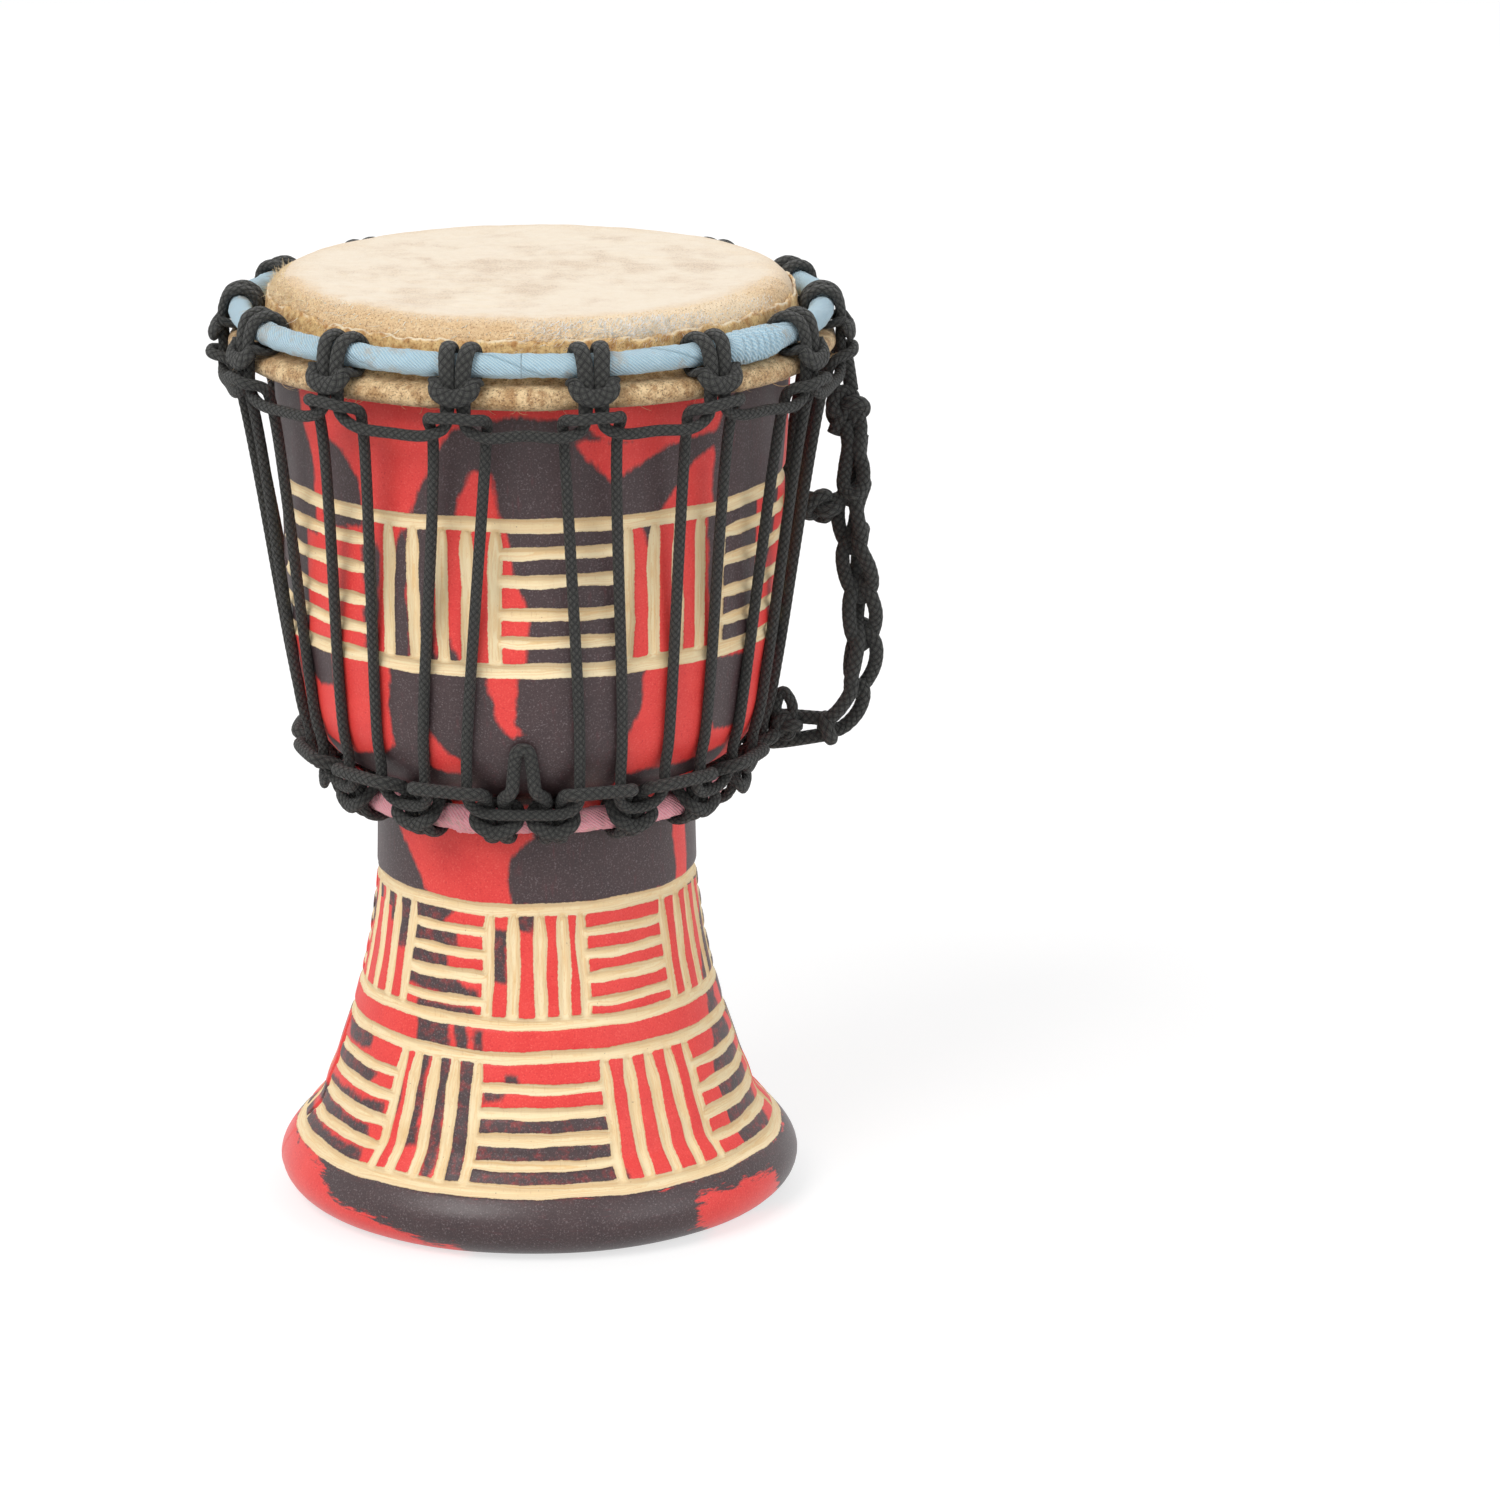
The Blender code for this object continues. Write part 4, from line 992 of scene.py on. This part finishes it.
# A station of a rope is (angle, distance from the drum's axis, height, the way that its thin
# side faces, thickness, width). In half a hitch, a distance along the ring stands for the angle.
def mirrored(half, middle, centre, shared=True):
    """Half a hitch laid on both sides of its angle."""
    left = [(centre - math.degrees(s[0] / s[1]), *s[1:]) for s in half]
    right = [(centre + math.degrees(s[0] / s[1]), *s[1:]) for s in half]
    return [*left, (centre, *middle), *(right[1:] if shared else right)[::-1]]


def crown_stations():
    """A hitch on the crown ring and a level loop beside it, fourteen times."""
    half = [
        (math.radians(PITCH / 2) * LOOP_FLAT, LOOP_FLAT, LOOP_HEIGHT, 0, ROPE, ROPE),
        (LOOP_REACH, LOOP_RADIUS, LOOP_HEIGHT, 0, ROPE, ROPE),
        (LEG + 0.7, LOOP_RADIUS, LOOP_HEIGHT + 2.6, 0, ROPE, ROPE),
        (LEG - 0.3, LOOP_RADIUS, LOOP_HEIGHT + 8.4, 0, 3.2, 4.4),
    ]
    for direction, shift in ((0, -0.2), (50, 0.25), (100, 0.6), (150, 0.7), (200, 0.7)):
        half.append((LEG + shift, *about(CROWN_RING, ON_RING, direction), direction, 3.1, 4.9))
    for direction, shift in ((250, 1.3), (295, 3.2)):
        half.append((LEG + shift, *about(CROWN_RING, ON_RING, direction), direction, 2.0, 4.4))
    half += [(LEG + 3.4, 97.1, 285.0, -30, 3.2, 4.6), (LEG + 2.0, 99.6, 282.2, 0, 3.4, 5.2)]
    rows = []
    for unit in range(UNITS):
        rows += mirrored(half, (99.9, 280.7, 0, 3.5, 5.6), PITCH * (unit + 0.5))
    return rows


def base_angle(index):
    """The angle of a hitch on the base ring."""
    return FIRST_HITCH + BASE_PITCH * index


def base_stations():
    """A hitch on the base ring and a raised loop beside it, and once the spare loop."""
    ring, level = BASE_RING
    half = [(2.8, ring + 9.0, level + 9.6, 0, BASE_ROPE, BASE_ROPE),
            (2.6, ring + 6.4, level + 6.2, 0, BASE_ROPE, BASE_ROPE)]
    for direction in (0, -50, -100, -150, -200, -250):
        half.append((2.5, *about(BASE_RING, 5.8, direction), direction, 2.9, 4.7))
    half += [(6.1, *about(BASE_RING, 6.0, -305), -305, 2.9, BASE_ROPE),
             (6.5, ring + 8.4, level + 1.4, -340, 3.1, BASE_ROPE)]
    rows = []
    for index in range(UNITS + 1):
        here = base_angle(index)
        rows += mirrored(half, (ring + 8.9, level - 1.5, 0, 3.2, 4.7), here, shared=False)
        onward = BASE_PITCH if index < UNITS else SPARE_LOOP
        middle, reach = here + onward / 2, onward / 2
        rise = ((reach - 3.0, FOOT_OF_VERTICAL - 0.3, BASE_LOOP[1] - 1.2),
                (reach - 4.6, BASE_LOOP[0] - 0.8, BASE_LOOP[1] - 0.3), (BASE_SPREAD, *BASE_LOOP))
        if index == UNITS:
            rise = ((3.0, FOOT_OF_VERTICAL + 0.3, BASE_LOOP[1] + 0.5), (2.3, 73.8, 158.0),
                    (1.1, 75.7, 164.8))
        rows += [(middle - s, r, z, 0, BASE_ROPE, BASE_ROPE) for s, r, z in rise]
        rows += [(middle + s, r, z, 0, BASE_ROPE, BASE_ROPE) for s, r, z in rise[::-1]]
    return rows


def vertical_stations():
    """Up from a base loop, over a crown loop, down again, and on to the next base loop."""
    rows = []
    over, under = LOOP_RADIUS + ROPE + 0.6, LOOP_RADIUS - ROPE - 0.9
    for unit in range(UNITS):
        centre = PITCH * (unit + 0.5)
        below = base_angle(unit) + BASE_PITCH / 2
        halves = []
        for side in (-1, 1):
            foot = below + side * BASE_SPREAD
            hitch = base_angle(unit + (side > 0))
            top = centre + side * math.degrees(LOOP_REACH / LOOP_RADIUS)
            half = [(centre + side * math.degrees(s / r), r, z) for s, r, z in (
                (LOOP_REACH - 3.4, over - 0.6, LOOP_HEIGHT + 6.0),
                (LOOP_REACH + 0.3, under + 2.6, LOOP_HEIGHT + 4.5))]
            half.append((top, under, LOOP_HEIGHT - 1.0))
            for radius, height in TOUCHES:
                share = (LOOP_HEIGHT - height) / (LOOP_HEIGHT - TOUCHES[-1][1])
                half.append((top + (foot - top) * share, radius, height))
            half.append((foot, FOOT_OF_VERTICAL, BASE_LOOP[1] - 0.2))
            for share, out, up in ((0.0, 1.6, 4.3), (0.22, 0.7, 1.7), (0.6, 0.1, 0.3)):
                half.append((foot + (hitch - foot) * share, BRIDGE[0] + out, BRIDGE[1] + up))
            halves.append(half)
        rows += [(base_angle(unit), *BRIDGE), *halves[0][::-1], (centre, over, LOOP_HEIGHT + 6.4),
                 *halves[1]]
    last = base_angle(UNITS)
    rows += [(last, *BRIDGE), (last + SPARE_LOOP / 2, *BRIDGE)]
    return [(*row, 0, ROPE, ROPE) for row in rows]


def settled(rows):
    """Stations shifted a little along their ring, and up or down between the rings, as the
    hand left them. Ropes that lie on each other move together."""
    rows = np.array(rows, float)
    angle, height = rows[:, 0].copy(), rows[:, 2]
    high = np.clip((height - 190) / 60, 0, 1)
    turned = (angle + 180) % 360 - 180
    above = np.interp(turned, (-90, -38.6, -12.9, 12.9, 38.6, 90), (0, 1.4, 0.9, 0, -1.4, 0))
    under = np.interp(
        turned, (-90, -34.8, -10.5, 5.5, 30.1, 54.6, 90), (0, 2.4, 1.5, 1.2, -1.2, -1.5, 0))
    rows[:, 0] += high * above + (1 - high) * under
    free = np.clip((282 - height) / 8, 0, 1) * np.clip((height - 215) / 40, 0, 1)
    rows[:, 2] += free * 0.9 * waver(angle, 83, 23)
    return rows


def rope_rows(rows, spacing):
    """Stations round the drum as places, with the way that their thin side faces."""
    rows = np.asarray(rows, float)
    turned = np.radians(rows[:, 3])
    places = polar(rows[:, 0], rows[:, 1], rows[:, 2])
    facing = polar(rows[:, 0], np.cos(turned), np.sin(turned))
    return smooth_run(np.column_stack([places, facing, rows[:, 4:]]), spacing, True)


def rope_tree():
    """Sweeps a braid along a line of points that carry which way is out, and its size."""
    tree, given, end = new_tree(
        "Geometry", "braided_rope", ("Geometry", "Geometry"), Geometry="Geometry", Sides="Int",
        Plaits="Float", Stitch="Float", Relief="Float", Material="Material")
    line = add_node("GeometryNodeMeshToCurve", {0: given["Geometry"]})
    skin = add_node("GeometryNodeCurveToMesh", {
        0: line, 1: numbered_ring(tree, given["Sides"], "turn"), "Fill Caps": True})
    turn, run = kept(tree, "turn"), kept(tree, "run")
    ways = crossings(turn * given["Plaits"], run / given["Stitch"])[1]
    bulge = maths("POWER", ways[0] * ways[1], 0.6) * given["Relief"]
    out, up = maths("COSINE", turn * math.tau), maths("SINE", turn * math.tau)
    place = kept(tree, "centre", "FLOAT_VECTOR")
    for name, size, wave in (("across", "wide", out), ("out", "thick", up)):
        reach = (kept(tree, size) * 0.5 + bulge) * wave
        way = kept(tree, name, "FLOAT_VECTOR")
        side = add_node("ShaderNodeVectorMath", {0: way, "Scale": reach}, operation="SCALE")
        place = arrow("ADD", place, side)
    skin = add_node("GeometryNodeSetPosition", {"Geometry": skin, "Position": place})
    skin = stored(skin, "lay", joined(out, up, run), "FLOAT_VECTOR")
    return finished(tree, given, end, add_node("GeometryNodeSetShadeSmooth", {0: skin}))


def crossings(wound, gone):
    """The braid's two ways round, and how high each of them stands."""
    both = (wound + gone, wound - gone)
    return both, [maths("ABSOLUTE", maths("SINE", way * math.pi)) for way in both]


def braided_rope():
    material, shader, where = new_material("braided_rope", 0.75, Sheen_Weight=0.1)
    turn, run = wrapped_turn(where)
    (first, second), ways = crossings(turn * PLAITS, run / (STITCH * MM))
    cells = maths("FLOOR", first) + maths("FLOOR", second)
    upper = step_up(maths("PINGPONG", cells, 1.0), 0.25, 0.75, "LINEAR")
    yarns = [maths("SINE", way * (math.tau * 4.0)) for way in (first, second)]
    yarn = add_node("ShaderNodeMix", {0: upper, 2: yarns[0], 3: yarns[1]}, data_type="FLOAT")
    dome = maths("POWER", ways[0] * ways[1], 0.5)
    colour = layered(
        mixed(step_up(noise(where, 2600.0, 2.0, 0.7), 0.3, 0.7), (60, 61, 58), (28, 29, 28)),
        # Lighter stripes along the yarns, partly the yarns' own striping and partly painted highlight,
        # and a painted highlight on the top of each plait.
        (step_up(yarn, 0.1, 0.9) * 0.45, (84, 84, 79)),
        (step_up(dome, 0.82, 1.0) * 0.4, (98, 100, 94)),
        # Painted shade: near black in the hollows between the plaits.
        (step_up(dome, 0.68, 0.25) * 0.9, (8, 8, 9)),
        (specks(where, 2100.0, 0.26) * 0.5, (138, 132, 116)))
    dress(shader, dome + yarn * 0.14, 1.0, 0.0009, Base_Color=colour)
    return material


rope_material = braided_rope()
rope_maker = rope_tree()


def new_rope(name, line, run, sides, closed=True, relief=0.10):
    """A rope along rows of (place, facing, thickness, width)."""
    places, facing, thick, wide = line[:, :3], line[:, 3:6], line[:, 6], line[:, 7]
    if closed:
        along = np.roll(places, -1, axis=0) - np.roll(places, 1, axis=0)
    else:
        along = np.gradient(places, axis=0)
    along /= np.linalg.norm(along, axis=1)[:, None]
    across = np.cross(along, facing)
    across /= np.linalg.norm(across, axis=1)[:, None]
    out = np.cross(across, along)
    count = len(places)
    edges = [(k, (k + 1) % count) for k in range(count if closed else count - 1)]
    rope = new_piece(
        name, places, [], rope_material, edges, centre=places * MM, across=across, out=out,
        thick=thick * MM, wide=wide * MM, run=run * MM)
    return made_by(rope_maker, rope, Sides=sides, Plaits=PLAITS, Stitch=STITCH * MM,
                   Relief=relief * MM, Material=rope_material)


for name, node, stations, spacing, sides in (
        ("crown_loops", "crown_loop_rope", crown_stations(), 0.46, 20),
        ("base_loops", "base_loop_rope", base_stations(), 0.46, 20),
        ("verticals", "vertical_rope", vertical_stations(), 0.7, 15)):
    rope = new_rope(name, *rope_rows(settled(stations), spacing), sides)
    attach(rope, "root")
    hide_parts(node)

# The carrying strap
# The same rope, a size thicker, worked into a chain of loops. It is tied to a crown loop with
# a knot, hangs down one side, carries a stopper knot, and is tied to a base loop.
STRAP_ROUTE = (
    (101.0, 8.0, 245.0), (101.6, 7.0, 238.0), (101.2, 6.0, 230.0), (100.6, 5.0, 222.0),
    (101.0, 4.5, 214.0), (102.3, 4.0, 206.0), (103.6, 3.5, 197.0), (104.3, 3.0, 188.0),
    (104.4, 2.5, 179.0), (103.4, 2.0, 170.5), (101.2, 1.5, 162.5), (98.2, 1.0, 156.0),
    (94.0, 0.5, 151.5), (89.0, 0.0, 150.3),
)
STRAND = 4.4
LINK = 16.4
CHAIN_LOOP = (
    (0.04, 0.3, -1.28), (0.50, -0.2, -1.30), (1.00, -0.32, -0.85), (1.18, -0.42, -0.10),
    (1.42, -0.80, 0.60), (1.82, -1.02, 0.48), (2.22, -0.78, 0.06), (2.44, 0.0, -0.16),
    (2.22, 0.78, 0.06), (1.82, 1.02, 0.48), (1.42, 0.80, 0.60), (1.16, 0.40, -0.10),
)
CHAIN_WIDTH = 4.3
CHAIN_DEPTH = 3.0
KNOT_CENTRE = np.array((99.0, 11.6, 253.3))
STOPPER_CENTRE = np.array((90.6, 3.0, 223.5))
TOP_TIE = 100.5
GRIP = ROPE / 2 + STRAND / 2 + 0.5
HALF_APART = STRAND / 2 + 0.1


def round_rope(name, points, closed=False, width=STRAND):
    """A round rope along these places."""
    points = np.asarray(points, float)
    facing = np.tile((0.31, -0.83, 0.46), (len(points), 1))
    sizes = np.full((len(points), 2), width)
    line, run = smooth_run(np.column_stack([points, facing, sizes]), 0.4, closed)
    return new_rope(name, line, run, 20, closed, 0.15)


def strap_chain():
    """The chain of loops along the strap's route, and the line of its middle."""
    line, run = smooth_run(STRAP_ROUTE, 0.5)
    along = np.gradient(line, axis=0)
    along /= np.linalg.norm(along, axis=1)[:, None]
    side = np.cross((0.0, -1.0, 0.0), along)
    side /= np.linalg.norm(side, axis=1)[:, None]
    front = np.cross(along, side)
    twist = 0.8 * np.sin(run / run[-1] * 5.0 + 0.6)[:, None]
    side, front = (side * np.cos(twist) + front * np.sin(twist),
                   front * np.cos(twist) - side * np.sin(twist))
    points = []
    count = int(run[-1] / LINK) - 1
    pitch = run[-1] / (count + 1.55)
    for number in range(count):
        sway = 0.35 * math.sin(2.4 * number)
        for reach, aside, ahead in CHAIN_LOOP:
            at = (number + reach - 0.1) * pitch
            here = np.array([np.interp(at, run, column) for column in line.T])
            spot = int(np.clip(np.searchsorted(run, at), 0, len(run) - 1))
            points.append(here + side[spot] * CHAIN_WIDTH * (aside + sway * 0.2)
                          + front[spot] * CHAIN_DEPTH * (ahead + sway * 0.3))
    return round_rope("strap_chain", points), line


strap_chain_piece, strap_line = strap_chain()
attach(strap_chain_piece, "root")
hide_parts("carrying_strap")


def trefoil(centre, size, lean):
    """A drawn knot: a rope that goes twice round its own middle."""
    turns = np.linspace(0, math.tau, 40, endpoint=False)
    ring = 0.62 + 0.30 * np.cos(3 * turns)
    points = np.column_stack(
        [ring * np.cos(2 * turns), ring * np.sin(2 * turns), 0.42 * np.sin(3 * turns)])
    level, rise = math.cos(math.radians(lean)), math.sin(math.radians(lean))
    turned = points @ np.array(((1, 0, 0), (0, level, -rise), (0, rise, level)))
    return turned * size + centre


def strap_piece(name, node, points, closed=False, width=STRAND):
    """A rope of the strap, in the place of a node."""
    rope = round_rope(name, points, closed=closed, width=width)
    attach(rope, "root")
    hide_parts(node)
    return rope


def bight(base, around, along):
    """A doubled strand from base, round a rope that runs along this direction, and back."""
    to_base = base - around
    to_base = to_base - along * to_base.dot(along)
    to_base /= np.linalg.norm(to_base)
    side = np.cross(along, to_base)
    turned = [around + (to_base * math.cos(turn) + side * math.sin(turn)) * GRIP
              for turn in map(math.radians, (75, 115, 150, 180, 210, 245, 285))]
    return [base + side * HALF_APART, *turned, base - side * HALF_APART]


strap_top_knot = strap_piece("top_knot", "strap_top_knot", trefoil(KNOT_CENTRE, 6.0, 78), True)
cut_end = strap_piece("top_knot_end", "strap_top_knot",
                      KNOT_CENTRE + ((0.5, -1.0, 1.0), (-2.2, -2.6, -3.0), (-4.0, -2.8, -7.6)))
chain_head = strap_piece("chain_head", "strap_top_knot", (
    KNOT_CENTRE + (2.6, -1.0, 1.6), KNOT_CENTRE + (4.4, -2.2, -5.0), (102.9, 5.6, 241.0),
    (104.3, 4.6, 235.0), (103.7, 3.0, 229.5), (101.0, 1.8, 227.0), (98.3, 3.0, 229.5),
    (98.6, 5.0, 235.5), (99.6, 6.6, 242.5), KNOT_CENTRE + (-0.6, -2.4, -4.0)))
over_knot = KNOT_CENTRE + (-0.6, 1.0, 5.0)
loop_spot = polar(TOP_TIE, LOOP_FLAT / math.cos(math.radians(TOP_TIE - PITCH * 4)), LOOP_HEIGHT)
top_tie = strap_piece("top_tie", "strap_top_bight",
                      bight(over_knot, loop_spot, polar(TOP_TIE + 90, 1.0, 0.0)))
strap_foot = strap_line[-1]
bottom_angle = base_angle(3) + BASE_PITCH / 2
base_spot = polar(bottom_angle, *BASE_LOOP)
bottom_tie = strap_piece(
    "bottom_tie", "strap_bottom_bight",
    bight(strap_foot + (6.5, 0.2, 1.6), base_spot, polar(bottom_angle + 90, 1.0, 0.0)))
grasp = np.radians(np.arange(0, 360, 30))
grasp_ring = np.column_stack([-0.9 * np.sin(grasp), 3.6 * np.cos(grasp), 3.3 * np.sin(grasp)])
chain_foot = strap_piece("chain_foot", "strap_bottom_bight",
                         strap_foot + (4.4, 0.1, 1.0) + grasp_ring, True)
tie_knot = strap_piece("tie_knot", "strap_bottom_bight",
                       trefoil(polar(bottom_angle - 3, 79.8, 152.6), 4.0, 55), True, 3.8)
ear = np.array(((77.2, 153), (77.0, 160), (79.0, 164), (81.8, 160), (81.6, 153)))
tie_loop = strap_piece("tie_loop", "strap_bottom_bight",
                       polar(bottom_angle - 3, ear[:, 0], ear[:, 1]), width=ROPE)
stopper = strap_piece("stopper_knot", "strap_stopper_knot", trefoil(STOPPER_CENTRE, 5.8, 30), True)
stopper_neck = strap_piece(
    "stopper_neck", "strap_stopper_knot",
    [(101.5, 5.0, 224.5), (98.0, 3.4, 226.0), (94.0, 2.6, 225.0), (90.6, 3.0, 223.0)])
tuple(strap_line[0] * MM)
(strap_line * MM).tolist()

# The floor and the light
# A pale floor that fades into a white room, with one broad soft lamp high on the left, a
# weaker one on the right, and the room's own light.
def seen_directly(tree):
    """1 where the eye looks, straight or through a shine or glass, and 0 for other light."""
    rays = add_node("ShaderNodeLightPath", tree=tree)
    straight, glossy, through = (
        rays.also(f"Is {kind} Ray") for kind in ("Camera", "Glossy", "Transmission"))
    return maths("MAXIMUM", straight, maths("MAXIMUM", glossy, through))


def studio_white():
    """A floor that is seen as white, and that still takes the drum's shadow."""
    material, shader, where = new_material("floor_white", 0.9, Specular_IOR_Level=0.1)
    looked_at = seen_directly(where.tree)
    shader.inputs["Emission Color"].default_value = (1.0, 1.0, 1.0, 1.0)
    colour = mixed(looked_at, (0.8, 0.8, 0.8, 1.0), (0.42, 0.42, 0.42, 1.0))
    where.tree.links.new(colour.socket, shader.inputs["Base Color"])
    where.tree.links.new((looked_at * 0.68).socket, shader.inputs["Emission Strength"])
    return material


floor_mesh = bpy.data.meshes.new("floor")
half, level = 14.0, -0.0005
floor_mesh.from_pydata(
    [(-half, -half, level), (half, -half, level), (half, half, level), (-half, half, level)],
    [], [(0, 1, 2, 3)])
floor_mesh.materials.append(studio_white())
floor = bpy.data.objects.new("floor", floor_mesh)
bpy.context.scene.collection.objects.link(floor)


def soft_lamp(name, place, size, power, tint):
    """A broad lamp that points at the drum."""
    data = bpy.data.lights.new(name, "AREA")
    data.shape = "RECTANGLE"
    data.size, data.size_y = size
    data.energy = power
    data.color = tint
    lamp = bpy.data.objects.new(name, data)
    lamp.location = place
    aim = np.array((0.0, 0.0, 0.15)) - np.array(place)
    lamp.rotation_euler = Vector(aim).to_track_quat("-Z", "Y").to_euler()
    bpy.context.scene.collection.objects.link(lamp)


soft_lamp("key", (-1.3, -1.6, 2.2), (1.6, 1.6), 48.0, (1.0, 0.985, 0.965))
soft_lamp("fill", (2.0, -1.4, 1.2), (1.8, 1.8), 16.0, (0.97, 0.985, 1.0))
soft_lamp("back", (0.2, 2.2, 1.9), (2.0, 1.2), 16.0, (1.0, 1.0, 1.0))
world = bpy.data.worlds.new("room")
bpy.context.scene.world = world
world.use_nodes = True
room = world.node_tree
background = room.nodes["Background"]
glow = add_node("ShaderNodeMapRange", (seen_directly(room), 0.0, 1.0, 0.42, 1.0))
background.inputs["Color"].default_value = (1.0, 1.0, 1.0, 1.0)
room.links.new(glow.socket, background.inputs["Strength"])
bpy.context.scene.view_settings.view_transform = "Standard"
